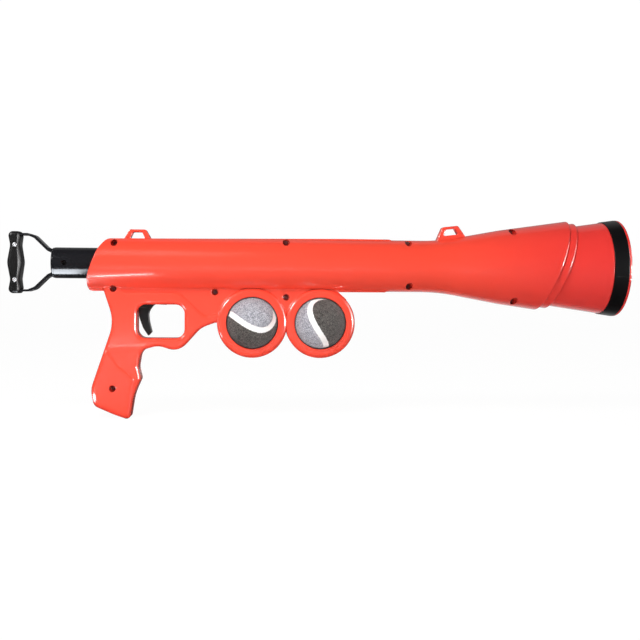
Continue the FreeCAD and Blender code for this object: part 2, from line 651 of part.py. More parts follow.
def make_plunger():
    tube = new_body("plunger_tube")
    revolve(tube, "tube_wall", box_loop("-1 * tubeRear", "-1 * tubeFront",
                                        "tubeRadius - tubeWall", "tubeRadius"))
    slot = tube.newObject("PartDesign::Pocket", "catch_slot")
    middle = "-1 * catchX + stroke"
    slot.Profile = body_sketch(tube, "catch_slot_sketch", "XY_Plane", [box_loop(
        f"{middle} - 4.2", f"{middle} + 4.2", "-1 * triggerHalf - 0.5", "triggerHalf + 0.5")])
    slot.SideType = "One side"
    bind(slot, Length="tubeRadius + 5")
    slot.Reversed = False
    cut_volume(tube, slot)
    screw_hole = tube.newObject("PartDesign::Pocket", "yoke_screw_hole")
    screw_hole.Profile = round_sketch(tube, "yoke_screw_sketch", "XZ_Plane",
                                      "-1 * yokeScrewX", "0", "yokeScrewRecess")
    screw_hole.SideType = "One side"
    screw_hole.Reversed = True
    bind(screw_hole, Length="tubeRadius + 5")
    cut_volume(tube, screw_hole)
    pin_hole = tube.newObject("PartDesign::Pocket", "cross_pin_hole")
    pin_hole.Profile = round_sketch(tube, "cross_pin_sketch", "XZ_Plane",
                                    "-1 * collarFront - collarLength / 2", "0",
                                    "crossPinRadius + fitGap / 2")
    pin_hole.SideType = "Symmetric"
    bind(pin_hole, Length="2 * tubeRadius + 10")
    cut_volume(tube, pin_hole)
    keep(tube)

    collar = ring("catch_collar", "-1 * collarFront - collarLength", "collarLength",
                  "tubeRadius + fitGap", "collarRadius", "0.6")
    collar_hole = collar.newObject("PartDesign::Pocket", "collar_pin_hole")
    collar_hole.Profile = round_sketch(collar, "collar_pin_sketch", "XZ_Plane",
                                       "-1 * collarFront - collarLength / 2", "0",
                                       "crossPinRadius + fitGap / 2")
    collar_hole.SideType = "Symmetric"
    bind(collar_hole, Length="2 * collarRadius + 10")
    cut_volume(collar, collar_hole)
    keep(collar)
    pin = doc.addObject("Part::Cylinder", "collar_pin")
    bind(pin, Radius="crossPinRadius", Height="2 * collarRadius - 0.6")
    pin.Placement = FreeCAD.Placement(
        V(number("-1 * collarFront - collarLength / 2"), -number("collarRadius - 0.3"), 0),
        FreeCAD.Rotation(Z_AXIS, Y_AXIS))
    keep(pin)

    head = new_body("pusher_head")
    front = "-1 * tubeFront + headFlange"
    revolve(head, "head_form", [
        ("-1 * tubeFront - headPlug", "screwRadius + fitGap", "0"),
        (front, "screwRadius + fitGap", "0"), (front, "headRadius", "1"),
        ("-1 * tubeFront", "headRadius", "0.6"),
        ("-1 * tubeFront", "tubeRadius - tubeWall - fitGap", "0"),
        ("-1 * tubeFront - headPlug", "tubeRadius - tubeWall - fitGap", "1.5"),
    ])
    keep(head)
    keep(ring("pusher_pad", front, "padThickness", "padHole", "padRadius", "1.5"))
    screw = new_body("pad_screw")
    revolve(screw, "pad_screw_form", [
        (f"{front} - 14", "0", "0"), (f"{front} + screwHeadHeight", "0", "0"),
        (f"{front} + screwHeadHeight", "padHole - 0.3", "0.8"), (front, "padHole - 0.3", "0"),
        (front, "screwRadius", "0"), (f"{front} - 14", "screwRadius", "0.4"),
    ])
    keep(screw)

    coil("drive_spring", "springSeat - washerThickness - collarFront - collarLength",
         "springMeanRadius", "springWire", "springTurns",
         FreeCAD.Placement(V(number("-1 * springSeat + washerThickness"), 0, 0),
                           FreeCAD.Rotation(Z_AXIS, X_AXIS)))


def round_sketch(body, name, plane, x, y, radius):
    """A sketch with one circle whose centre and radius follow the sheet."""
    sketch = body_sketch(body, name, plane, [])
    centre = V(number(x), number(y), 0)
    ring_line = sketch.addGeometry(Part.Circle(centre, Z_AXIS, number(radius)), False)
    for kind, text, value in (("DistanceX", x, centre.x), ("DistanceY", y, centre.y)):
        placed = sketch.addConstraint(Sketcher.Constraint(kind, -1, 1, ring_line, 3, value))
        sketch.setExpression(f"Constraints[{placed}]", expression(text))
    size = sketch.addConstraint(Sketcher.Constraint("Radius", ring_line, number(radius)))
    sketch.setExpression(f"Constraints[{size}]", expression(radius))
    return sketch


def make_guides():
    inner = "tubeRadius + runningGap"
    keep(ring("rear_bushing", "-1 * bushingRear + fitGap", "bushingLength - 2 * fitGap",
              inner, "bushingRadius", "0.5"))
    keep(ring("spring_washer", "-1 * springSeat", "washerThickness",
              "tubeRadius + restGap", "barrelRadius - barrelWall - 1"))
    guide_rear = "-1 * collarFront + restGap + bufferLength + fitGap"
    keep(ring("front_guide", guide_rear, "guideLength", inner,
              "barrelRadius - barrelWall - fitGap"))
    keep(ring("buffer_ring", "-1 * collarFront + restGap", "bufferLength + fitGap",
              "tubeRadius + 2 * restGap", "bufferRadius", "1"))


# ---- trigger

def make_trigger():
    hook_top = "-1 * tubeRadius - hookGap"
    px, pz = "-1 * pivotX", "pivotZ"
    body = new_body("trigger")
    lever = pad(body, "lever", [[
        (f"{px} - 7", f"{pz} + 4.5", "3"), (f"{px} + 17", f"{pz} + 8.5", "4"),
        ("-1 * catchX - 3.5", f"{hook_top} - 8", "2"), ("-1 * catchX - 3.5", hook_top, "0.3"),
        ("-1 * catchX - 1.5", hook_top, "0.3"), ("-1 * catchX + 3.5", f"{hook_top} - 6.5", "1"),
        ("-1 * catchX + 3.5", f"{hook_top} - 10", "2"),
        ("-1 * returnSpringX + 3.5", "returnSpringTop + 4.5", "1"),
        ("-1 * returnSpringX + 3.5", "returnSpringTop", "0"),
        (f"{px} + 30.6", "returnSpringTop", "0"),
        (f"{px} + 29", f"{pz} - 9.2", "1"), (f"{px} + 15.2", f"{pz} - 8.6", "5"),
        (f"{px} + 8.8", f"{pz} - 17", "12"), (f"{px} + 9.8", f"{pz} - 28", "38"),
        (f"{px} + 12.8", f"{pz} - 39.6", "1.5"), (f"{px} + 8.6", f"{pz} - 44.4", "1.2"),
        (f"{px} + 2.6", f"{pz} - 35.4", "19"), (f"{px} - 1.8", f"{pz} - 23", "19"),
        (f"{px} - 2.4", f"{pz} - 12", "8"), (f"{px} - 7", f"{pz} - 5", "3"),
    ]], "triggerHalf")
    doc.recompute()
    blade = body.newObject("PartDesign::Fillet", "blade_round")
    low, half = number("pivotZ - 14"), number("triggerHalf")
    blade.Base = (lever, [f"Edge{i}" for i, edge in enumerate(lever.Shape.Edges, start=1)
                          if edge.BoundBox.ZMax < low and lies_at_y(edge, half)])
    blade.Radius = 1.2
    hole = body.newObject("PartDesign::Pocket", "pivot_bore")
    hole.Profile = round_sketch(body, "pivot_bore_sketch", "XZ_Plane", px, pz,
                                "pivotPinRadius + fitGap")
    hole.SideType = "Symmetric"
    bind(hole, Length="4 * triggerHalf")
    cut_volume(body, hole)
    keep(body)
    pin = doc.addObject("Part::Cylinder", "trigger_pin")
    bind(pin, Radius="pivotPinRadius", Height="2 * pivotPinHalf")
    pin.Placement = FreeCAD.Placement(
        V(-number("pivotX"), -number("pivotPinHalf"), number("pivotZ")),
        FreeCAD.Rotation(Z_AXIS, Y_AXIS))
    keep(pin)
    coil("trigger_spring", "returnSpringTop - returnSpringFoot", "returnSpringRadius",
         "returnSpringWire", "returnSpringTurns",
         FreeCAD.Placement(V(-number("returnSpringX"), 0, number("returnSpringFoot")),
                           FreeCAD.Rotation()))


# ---- D-handle

def make_handle():
    bar_front = "-1 * handleBarX + barThickness / 2"
    bar_rear = "-1 * handleBarX - barThickness / 2"
    high = "handleHalf - 2"
    outer = [("-1 * tubeRear", "tubeRadius - 2.2", "0"),
             ("-1 * tubeRear - 7", "tubeRadius - 1.1", "8"),
             ("-1 * handleBarX + 21.7", "handleHalf - 4.4", "10"),
             ("-1 * handleBarX + 13.7", high, "8"), (bar_rear, high, "2")]
    low = "handleHalf - 2 - strapThickness"
    inner = [("-1 * tubeRear - 1.9", "tubeRadius - 6.9", "4"),
             ("-1 * tubeRear - 7.9", "tubeRadius - 4.1", "6"),
             ("-1 * handleBarX + 20.6", "handleHalf - 7.4", "8"),
             ("-1 * handleBarX + 13.2", low, "6"), (bar_front, low, "1.5")]
    yoke = new_body("handle_yoke")
    pad(yoke, "strap", [outer + mirrored_z(outer), inner + mirrored_z(inner)], "strapHalf")
    revolve(yoke, "plug", [
        ("-1 * tubeRear + yokePlug", "0", "0"), ("-1 * tubeRear - 2.6", "0", "0"),
        ("-1 * tubeRear - 2.6", "tubeRadius - 0.4", "1"), ("-1 * tubeRear", "tubeRadius - 0.4", "0"),
        ("-1 * tubeRear", "tubeRadius - tubeWall - fitGap", "0"),
        ("-1 * tubeRear + yokePlug", "tubeRadius - tubeWall - fitGap", "1.5"),
    ])
    seat = yoke.newObject("PartDesign::Pocket", "yoke_screw_seat")
    seat_sketch = round_sketch(yoke, "yoke_seat_sketch", "XZ_Plane", "-1 * yokeScrewX", "0",
                               "yokeScrewRecess")
    seat_sketch.setExpression("AttachmentOffset.Base.z", expression("tubeRadius - yokeScrewDepth"))
    seat.Profile = seat_sketch
    seat.SideType = "One side"
    seat.Reversed = True
    seat.Length = 10
    cut_volume(yoke, seat)
    screw_bore = yoke.newObject("PartDesign::Pocket", "yoke_screw_bore")
    screw_bore.Profile = round_sketch(yoke, "yoke_bore_sketch", "XZ_Plane", "-1 * yokeScrewX",
                                      "0", "screwRadius + fitGap")
    screw_bore.SideType = "One side"
    screw_bore.Reversed = True
    bind(screw_bore, Length="tubeRadius")
    cut_volume(yoke, screw_bore)
    for index, z in enumerate(("handleScrewZ", "-1 * handleScrewZ")):
        bore = yoke.newObject("PartDesign::Pocket", f"bar_bore_{index}")
        bore.Profile = round_sketch(yoke, f"bar_bore_sketch_{index}", "XZ_Plane",
                                    "-1 * handleBarX", z, "screwRadius + fitGap")
        bore.SideType = "Symmetric"
        bind(bore, Length="4 * strapHalf")
        cut_volume(yoke, bore)
    keep(yoke)

    # half of the waisted outline: distance from the bar, share of the half height, corner
    waist = [(8.4, 1, 5), (5.6, 0.55, 14), (9.2, 0, 24), (5.6, -0.55, 14), (8.4, -1, 5)]
    wave = [(f"-1 * handleBarX + {out}", f"handleHalf * {up}", str(turn)) for out, up, turn in waist]
    wave += [(f"-1 * handleBarX - {out}", f"handleHalf * {up}", str(turn))
             for out, up, turn in reversed(waist)]
    level = number("gripDepth")
    for name, side in (("handle_grip_right", -1), ("handle_grip_left", 1)):
        grip = new_body(name)
        shell = grip.newObject("PartDesign::Pad", name + "_pad")
        shell.Profile = body_sketch(grip, name + "_sketch", "XZ_Plane", [wave])
        shell.SideType = "One side"
        shell.Reversed = side > 0
        bind(shell, Length="gripDepth")
        doc.recompute()
        soft = grip.newObject("PartDesign::Fillet", name + "_round")
        soft.Base = (shell, [f"Edge{i}" for i, edge in enumerate(shell.Shape.Edges, start=1)
                             if lies_at_y(edge, level)])
        bind(soft, Radius="gripRound")
        gap = "fitGap"
        pocket(grip, name + "_bar_slot", [box_loop(
            f"{bar_rear} - {gap}", f"{bar_front} + {gap}",
            f"-1 * ( {high} + {gap} )", f"{high} + {gap}")], "strapHalf + fitGap")
        for index, sign in enumerate(("1", "-1")):
            pocket(grip, f"{name}_arm_slot_{index}", [[
                (bar_front, f"{sign} * ( {high} + {gap} )", "0"),
                ("-1 * handleBarX + 20", f"{sign} * ( {high} + {gap} )", "0"),
                ("-1 * handleBarX + 20", f"{sign} * ( {low} - {gap} - 0.6 )", "0"),
                (bar_front, f"{sign} * ( {low} - {gap} - 0.6 )", "0")]], "strapHalf + fitGap")
            bore = grip.newObject("PartDesign::Pocket", f"{name}_bore_{index}")
            bore.Profile = round_sketch(grip, f"{name}_bore_sketch_{index}", "XZ_Plane",
                                        "-1 * handleBarX", f"{sign} * handleScrewZ",
                                        "screwRadius + fitGap")
            bore.SideType = "Symmetric"
            bind(bore, Length="2 * ( gripDepth + 2 )" if side < 0 else "2 * ( gripDepth - 1.5 )")
            cut_volume(grip, bore)
            if side < 0:
                head = grip.newObject("PartDesign::Pocket", f"{name}_head_{index}")
                sunk = round_sketch(grip, f"{name}_head_sketch_{index}", "XZ_Plane",
                                    "-1 * handleBarX", f"{sign} * handleScrewZ", "gripHeadRadius + fitGap")
                sunk.setExpression("AttachmentOffset.Base.z", expression("gripDepth - gripHeadSunk"))
                head.Profile = sunk
                head.SideType = "One side"
                head.Reversed = True
                head.Length = 4
                cut_volume(grip, head)
        keep(grip)


# ---- screws

def pan_screw(name, head_radius, head_height, shank, seat, socket=0.9):
    """A cross-recessed screw along +Y whose head's underside is at the seat."""
    head = cylinder(name + "_head", head_radius, head_height, seat, -Y_AXIS)
    rod = cylinder(name + "_shank", "screwRadius", shank, seat, Y_AXIS)
    joined = fused(name + "_blank", [head, rod])
    reach, slim = number(head_radius) * 0.6, 0.35
    tools = []
    for index, (wide, tall) in enumerate(((reach, slim), (slim, reach))):
        blade = doc.addObject("Part::Box", f"{name}_blade_{index}")
        bind(blade, Length=2 * wide, Width=4, Height=2 * tall)
        top = seat.y - number(head_height)
        blade.Placement.Base = V(seat.x - wide, top - 4 + socket, seat.z - tall)
        tools.append(blade)
    return boolean("Cut", name + "_cut", joined, fused(name + "_cross", tools))


def screw_group(label, screws):
    group = doc.addObject("Part::Compound", label)
    group.Links = screws
    group.Label = label
    keep(group)


def make_screws():
    seat_y = -number("screwSeat")
    screw_group("case_screws", [
        pan_screw(f"case_screw_{index}", "screwHeadRadius", "screwHeadHeight", "screwGrip",
                  V(x, seat_y, z))
        for index, (x, z) in enumerate(screw_places())])
    grip_y = -number("gripDepth - gripHeadSunk")
    screw_group("handle_screws", [
        pan_screw(f"handle_screw_{index}", "gripHeadRadius", "1.7", "2 * gripDepth - 5",
                  V(-number("handleBarX"), grip_y, sign * number("handleScrewZ")))
        for index, sign in enumerate((1, -1))])
    yoke_seat = V(-number("yokeScrewX"), -number("tubeRadius - yokeScrewDepth"), 0)
    single = pan_screw("yoke_screw_solid", "yokeScrewRecess - 0.2", "2", "10", yoke_seat)
    single.Label = "yoke_screw"
    keep(single)


def make_balls():
    for index, name in enumerate(("spare_ball_rear", "spare_ball_front")):
        ball = doc.addObject("Part::Sphere", name)
        ball.Label = name
        bind(ball, Radius="ballRadius")
        x = -number(f"rearHolderX - {index} * holderPitch")
        ball.Placement.Base = V(x, 0, number("holderZ"))
        keep(ball)


kept = []


def keep(item):
    kept.append(item)


def write_parts():
    doc.recompute()
    for item in doc.Objects:
        if "Invalid" in item.State or "Error" in item.State:
            raise RuntimeError(f"{item.Name} failed: {item.State}")
    os.makedirs("parts", exist_ok=True)
    for item in kept:
        shape = item.Shape
        if shape.isNull() or not shape.isValid() or not shape.Solids:
            raise RuntimeError(f"{item.Label} has no valid solid")
        shape.exportStep(f"parts/{item.Label}.step")
        print(item.Label, len(shape.Solids), "solids,", round(shape.Volume / 1000, 1), "cm3")


make_shells()
make_muzzle()
make_plunger()
make_guides()
make_trigger()
make_handle()
make_screws()
make_balls()
write_parts()
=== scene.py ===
import math
import bmesh
import bpy
from mathutils import Euler, Matrix, Vector, noise


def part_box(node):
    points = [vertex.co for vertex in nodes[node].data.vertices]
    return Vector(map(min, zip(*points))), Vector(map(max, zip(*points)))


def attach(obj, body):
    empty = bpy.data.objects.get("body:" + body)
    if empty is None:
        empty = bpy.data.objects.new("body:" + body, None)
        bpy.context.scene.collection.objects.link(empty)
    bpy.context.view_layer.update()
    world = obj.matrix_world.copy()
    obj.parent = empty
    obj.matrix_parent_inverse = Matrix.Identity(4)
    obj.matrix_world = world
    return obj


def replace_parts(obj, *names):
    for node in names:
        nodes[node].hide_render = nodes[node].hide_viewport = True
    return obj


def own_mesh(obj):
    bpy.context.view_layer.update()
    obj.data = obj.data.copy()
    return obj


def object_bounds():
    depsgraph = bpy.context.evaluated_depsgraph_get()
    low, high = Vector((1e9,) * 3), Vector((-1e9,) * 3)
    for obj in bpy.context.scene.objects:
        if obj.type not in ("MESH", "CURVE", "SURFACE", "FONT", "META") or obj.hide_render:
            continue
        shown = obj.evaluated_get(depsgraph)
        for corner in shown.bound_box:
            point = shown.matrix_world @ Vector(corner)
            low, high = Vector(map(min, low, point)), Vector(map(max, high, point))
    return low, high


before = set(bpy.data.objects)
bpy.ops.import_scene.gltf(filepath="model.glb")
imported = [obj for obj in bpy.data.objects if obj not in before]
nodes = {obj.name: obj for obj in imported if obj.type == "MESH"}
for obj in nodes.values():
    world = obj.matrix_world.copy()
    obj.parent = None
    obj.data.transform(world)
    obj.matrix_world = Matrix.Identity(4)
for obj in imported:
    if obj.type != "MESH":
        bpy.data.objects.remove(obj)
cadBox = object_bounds()
print("frame loaded:", len(nodes), "nodes")


# ---- camera

cameraView = {"place": (-0.4179, -1.0811, -0.0258), "target": (-0.3428, 0.0, -0.0622),
              "lens": 53.4, "sensor": 36.0, "roll": 0.5}


def makeCamera():
    data = bpy.data.cameras.new("camera")
    data.lens, data.sensor_width = cameraView["lens"], cameraView["sensor"]
    camera = bpy.data.objects.new("camera", data)
    bpy.context.scene.collection.objects.link(camera)
    place = Vector(cameraView["place"])
    aim = (Vector(cameraView["target"]) - place).to_track_quat("-Z", "Y").to_matrix().to_4x4()
    aim.translation = place
    camera.matrix_world = aim @ Euler((0, 0, math.radians(cameraView["roll"]))).to_matrix().to_4x4()
    bpy.context.scene.camera = camera


# ---- shader helpers

def newGroup(name, inputs, outputs):
    tree = bpy.data.node_groups.new(name, "ShaderNodeTree")
    for label, kind, value in inputs:
        socket = tree.interface.new_socket(label, in_out="INPUT", socket_type="NodeSocket" + kind)
        socket.default_value = value
    for label, kind in outputs:
        tree.interface.new_socket(label, in_out="OUTPUT", socket_type="NodeSocket" + kind)
    return tree, tree.nodes.new("NodeGroupInput"), tree.nodes.new("NodeGroupOutput")


def feed(tree, socket, value):
    if isinstance(value, bpy.types.NodeSocket):
        tree.links.new(value, socket)
    else:
        socket.default_value = value


def sums(tree, operation, first, second=0.0, third=0.0):
    node = tree.nodes.new("ShaderNodeMath")
    node.operation = operation
    for socket, value in zip(node.inputs, (first, second, third)):
        feed(tree, socket, value)
    return node.outputs[0]


def vectors(tree, operation, first, second=(0, 0, 0)):
    node = tree.nodes.new("ShaderNodeVectorMath")
    node.operation = operation
    feed(tree, node.inputs[0], first)
    feed(tree, node.inputs[1], second)
    return node.outputs["Value" if operation in ("DOT_PRODUCT", "LENGTH") else "Vector"]


def mixColor(tree, share, first, second):
    node = tree.nodes.new("ShaderNodeMix")
    node.data_type = "RGBA"
    feed(tree, node.inputs["Factor"], share)
    feed(tree, node.inputs[6], first)
    feed(tree, node.inputs[7], second)
    return node.outputs[2]


def spread(tree, value, low, high, newLow=0.0, newHigh=1.0):
    node = tree.nodes.new("ShaderNodeMapRange")
    node.interpolation_type = "SMOOTHSTEP"
    for socket, number in zip(node.inputs, (value, low, high, newLow, newHigh)):
        feed(tree, socket, number)
    return node.outputs[0]


def noiseOf(tree, vector, scale, detail=3.0, roughness=0.55):
    node = tree.nodes.new("ShaderNodeTexNoise")
    node.inputs["Detail"].default_value = detail
    node.inputs["Roughness"].default_value = roughness
    feed(tree, node.inputs["Vector"], vector)
    feed(tree, node.inputs["Scale"], scale)
    return node.outputs[0]


def objectPoint(tree):
    return tree.nodes.new("ShaderNodeTexCoord").outputs["Object"]


# ---- studio

studio = {"floorFront": -0.8, "floorSize": 9.0, "wallBehind": 3.2, "wallHeight": 7.5,
          "sweepRadius": 1.2, "airStrength": 0.24, "airInGloss": 0.06, "floorGrey": 0.85,
          "floorGlow": 0.94, "wallGlow": 0.985, "white": 1.03, "glossFront": 0.05,
          "glossBehind": 0.75, "glossLeft": 0.12, "glossWall": 0.30, "whiteFrom": 0.02,
          "whiteFull": 0.25, "rightFrom": -0.34, "rightFull": -0.16, "wallFrom": 0.1,
          "wallFull": 0.8, "floorRoughness": 0.9, "airColor": (1.0, 0.985, 0.97, 1),
          "bendSteps": 12}

# a lamp with shine False is seen only as a reflection, and one with glare False only lights
lamps = [
    {"name": "keyLight", "place": (-0.72, -0.76, 0.76), "target": (-0.42, 0.0, -0.02),
     "size": (0.5, 0.4), "power": 11.8, "glare": False},
    {"name": "lowFill", "place": (-0.50, -0.46, -0.16), "target": (-0.42, 0.0, -0.03),
     "size": (0.6, 0.05), "power": 0.95, "glare": False},
    {"name": "frontSoftbox", "place": (-0.80, -1.20, 0.10), "target": (-0.45, 0.0, -0.02),
     "size": (1.5, 1.0), "power": 0.45},
    {"name": "upperLeftGlint", "place": (-1.75, -0.85, 0.85), "target": (-0.45, 0.0, 0.0),
     "size": (0.36, 0.30), "power": 34.0, "shine": False},
    {"name": "rightGlint", "place": (1.10, -1.00, -0.06), "target": (-0.5, 0.0, -0.03),
     "size": (0.20, 0.30), "power": 60.0, "shine": False},
    {"name": "rightPanel", "place": (1.30, -0.60, 0.35), "target": (-0.3, 0.0, 0.0),
     "size": (1.4, 1.0), "power": 34.0, "shine": False},
    {"name": "lowGlint", "place": (-0.575, -0.087, -0.096), "target": (-0.575, -0.087, 1.0),
     "along": (-0.063, 0.034, 0.0), "size": (0.074, 0.009), "power": 0.060, "shine": False},
    {"name": "tubeGlint", "place": (-0.667, -0.075, -0.169), "target": (-0.667, -0.075, 1.0),
     "along": (0.0, 1.0, 0.0), "size": (0.15, 0.055), "power": 0.72,
     "color": (0.88, 0.93, 1.0), "shine": False},
]


def rayShare(tree, kinds):
    # how far the ray is one of the given kinds: a Light Path output and its weight for each
    path = tree.nodes.new("ShaderNodeLightPath")
    total = 0.0
    for kind, weight in kinds.items():
        total = sums(tree, "MULTIPLY_ADD", path.outputs[kind], weight, total)
    return total


def blendShaders(tree, share, first, second, output):
    blend = tree.nodes.new("ShaderNodeMixShader")
    feed(tree, blend.inputs[0], share)
    tree.links.new(first.outputs[0], blend.inputs[1])
    tree.links.new(second.outputs[0], blend.inputs[2])
    tree.links.new(blend.outputs[0], output.inputs["Surface"])


def makeAir():
    # plain white to the camera, dim and even to all else
    world = bpy.data.worlds.new("studioAir")
    bpy.context.scene.world = world
    world.use_nodes = True
    tree = world.node_tree
    air = tree.nodes["Background"]
    air.inputs["Color"].default_value = studio["airColor"]
    dim = rayShare(tree, {"Is Glossy Ray": studio["airInGloss"] - studio["airStrength"]})
    feed(tree, air.inputs["Strength"], sums(tree, "ADD", studio["airStrength"], dim))
    white = tree.nodes.new("ShaderNodeBackground")
    white.inputs["Color"].default_value = (1, 1, 1, 1)
    share = rayShare(tree, {"Is Camera Ray": 1.0, "Is Transmission Ray": 1.0})
    blendShaders(tree, share, air, white, tree.nodes["World Output"])


def makePaper():
    # lit paper that glows white to the camera; a reflection sees it dark in front, pale behind
    paper = bpy.data.materials.new("paperSweep")
    paper.use_nodes = True
    tree = paper.node_tree
    grey = tree.nodes["Principled BSDF"]
    grey.inputs["Base Color"].default_value = [studio["floorGrey"]] * 3 + [1]
    grey.inputs["Roughness"].default_value = studio["floorRoughness"]
    glow = tree.nodes.new("ShaderNodeEmission")
    split = tree.nodes.new("ShaderNodeSeparateXYZ")
    tree.links.new(objectPoint(tree), split.inputs[0])
    side = spread(tree, split.outputs["X"], studio["rightFrom"], studio["rightFull"],
                  studio["glossLeft"], studio["glossBehind"])
    behind = spread(tree, split.outputs["Y"], studio["whiteFrom"], studio["whiteFull"],
                    studio["glossFront"], side)
    low = cadBox[0].z
    wallFull = low + studio["wallFull"]
    inGloss = spread(tree, split.outputs["Z"], low + studio["wallFrom"], wallFull, behind,
                     studio["glossWall"])
    inGloss = sums(tree, "MULTIPLY", inGloss, rayShare(tree, {"Is Glossy Ray": 1.0}))
    seen = {"Is Camera Ray": studio["white"], "Is Transmission Ray": studio["white"]}
    feed(tree, glow.inputs["Strength"], sums(tree, "ADD", inGloss, rayShare(tree, seen)))
    glowShare = spread(tree, split.outputs["Z"], low, wallFull, studio["floorGlow"],
                       studio["wallGlow"])
    share = rayShare(tree, {"Is Camera Ray": glowShare, "Is Glossy Ray": 1.0,
                            "Is Transmission Ray": glowShare})
    blendShaders(tree, share, grey, glow, tree.nodes["Material Output"])
    return paper


def makeSweep():
    # floor and back wall are one sheet of paper with a round bend between them
    low = cadBox[0].z
    half, bend = studio["floorSize"] / 2, studio["sweepRadius"]
    line = [(studio["floorFront"], 0.0)]
    for i in range(studio["bendSteps"] + 1):
        turn = math.radians(90 * i / studio["bendSteps"])
        line.append((studio["wallBehind"] - bend + bend * math.sin(turn),
                     bend - bend * math.cos(turn)))
    line.append((studio["wallBehind"], studio["wallHeight"]))
    middle = (cadBox[0].x + cadBox[1].x) / 2
    points = [(x, y, low + z) for y, z in line for x in (middle - half, middle + half)]
    faces = [(2 * i, 2 * i + 1, 2 * i + 3, 2 * i + 2) for i in range(len(line) - 1)]
    mesh = bpy.data.meshes.new("sweep")
    mesh.from_pydata(points, [], faces)
    mesh.shade_smooth()
    mesh.materials.append(makePaper())
    sweep = bpy.data.objects.new("sweep", mesh)
    bpy.context.scene.collection.objects.link(sweep)


def makeLamps():
    for lamp in lamps:
        data = bpy.data.lights.new(lamp["name"], "AREA")
        data.shape = "RECTANGLE"
        data.size, data.size_y = lamp["size"]
        data.energy = lamp["power"]
        data.color = lamp.get("color", (1, 1, 1))
        light = bpy.data.objects.new(lamp["name"], data)
        bpy.context.scene.collection.objects.link(light)
        place = Vector(lamp["place"])
        back = (place - Vector(lamp["target"])).normalized()
        along = Vector(lamp.get("along", Vector((0, 0, 1)).cross(back))).normalized()
        turn = Matrix((along, back.cross(along), back)).transposed().to_4x4()
        light.matrix_world = Matrix.Translation(place) @ turn
        light.visible_camera = False
        light.visible_diffuse = lamp.get("shine", True)
        light.visible_glossy = lamp.get("glare", True)


makeCamera()
makeAir()
makeSweep()
makeLamps()
print("camera and studio ready")


# ---- surface skin

skinForm = {"driftScale": 14.0, "patchScale": 9.0, "patchFrom": 0.48, "patchFull": 0.68,
            "hairScale": (18, 260, 420), "hairTurn": (0.2, 0.35, 0.1), "hairFrom": 0.62,
            "hairFull": 0.74, "scuffColor": (0.9, 0.86, 0.84, 1), "scuffPale": 0.25,
            "scuffRough": 0.35, "scuffDepth": 0.8, "driftRough": 0.6, "samples": 6}
# painted shade in crevices: darkest where less than deep of the light is left, and none above clear
paintedShadeForm = {"reach": 0.003, "deep": 0.16, "clear": 0.46, "color": (0.012, 0.002, 0.003, 1)}


def makeSkinGroup():
    # moulded or rubbed surface: fine grain, slow tone drift, hairline scuffs along the part
    tree, given, out = newGroup("surfaceSkin", [
        ("Color", "Color", (0.5, 0.5, 0.5, 1)), ("Roughness", "Float", 0.3),
        ("Grain Scale", "Float", 900.0), ("Drift", "Float", 0.05), ("Scuffs", "Float", 0.1),
    ], [("Color", "Color"), ("Roughness", "Float"), ("Height", "Float")])
    point = objectPoint(tree)
    grain = noiseOf(tree, point, given.outputs["Grain Scale"], 2.0)
    drift = noiseOf(tree, point, skinForm["driftScale"], 4.0)
    stretch = tree.nodes.new("ShaderNodeMapping")
    stretch.inputs["Scale"].default_value = skinForm["hairScale"]
    stretch.inputs["Rotation"].default_value = skinForm["hairTurn"]
    tree.links.new(point, stretch.inputs["Vector"])
    hairs = noiseOf(tree, stretch.outputs[0], 1.0, 5.0, 0.7)
    patches = spread(tree, noiseOf(tree, point, skinForm["patchScale"], 2.0),
                     skinForm["patchFrom"], skinForm["patchFull"])
    scuff = sums(tree, "MULTIPLY", spread(tree, hairs, skinForm["hairFrom"], skinForm["hairFull"]),
                 patches)
    scuff = sums(tree, "MULTIPLY", scuff, given.outputs["Scuffs"])
    shift = sums(tree, "MULTIPLY", sums(tree, "SUBTRACT", drift, 0.5), given.outputs["Drift"])
    bright = tree.nodes.new("ShaderNodeHueSaturation")
    tree.links.new(given.outputs["Color"], bright.inputs["Color"])
    tree.links.new(sums(tree, "ADD", 1.0, shift), bright.inputs["Value"])
    pale = mixColor(tree, sums(tree, "MULTIPLY", scuff, skinForm["scuffPale"]), bright.outputs[0],
                    skinForm["scuffColor"])
    rough = sums(tree, "ADD", given.outputs["Roughness"],
                 sums(tree, "MULTIPLY", scuff, skinForm["scuffRough"]))
    rough = sums(tree, "ADD", rough, sums(tree, "MULTIPLY", shift, skinForm["driftRough"]))
    height = sums(tree, "SUBTRACT", grain, sums(tree, "MULTIPLY", scuff, skinForm["scuffDepth"]))
    tree.links.new(pale, out.inputs["Color"])
    tree.links.new(rough, out.inputs["Roughness"])
    tree.links.new(height, out.inputs["Height"])
    return tree


skinGroup = makeSkinGroup()


def newMaterial(name):
    material = bpy.data.materials.new(name)
    material.use_nodes = True
    return material, material.node_tree, material.node_tree.nodes["Principled BSDF"]


def bumpFrom(tree, height, distance, strength=1.0):
    bump = tree.nodes.new("ShaderNodeBump")
    bump.inputs["Distance"].default_value = distance
    bump.inputs["Strength"].default_value = strength
    tree.links.new(height, bump.inputs["Height"])
    return bump.outputs[0]


def paintedShade(tree, color, dark, reach=paintedShadeForm["reach"], deep=paintedShadeForm["deep"],
            clear=paintedShadeForm["clear"]):
    # the color, with up to a share dark of it turned to painted shade where nearby surfaces shut the
    # light out
    near = tree.nodes.new("ShaderNodeAmbientOcclusion")
    near.samples = skinForm["samples"]
    near.inputs["Distance"].default_value = reach
    share = spread(tree, near.outputs["AO"], deep, clear, dark, 0.0)
    return mixColor(tree, share, color, paintedShadeForm["color"])


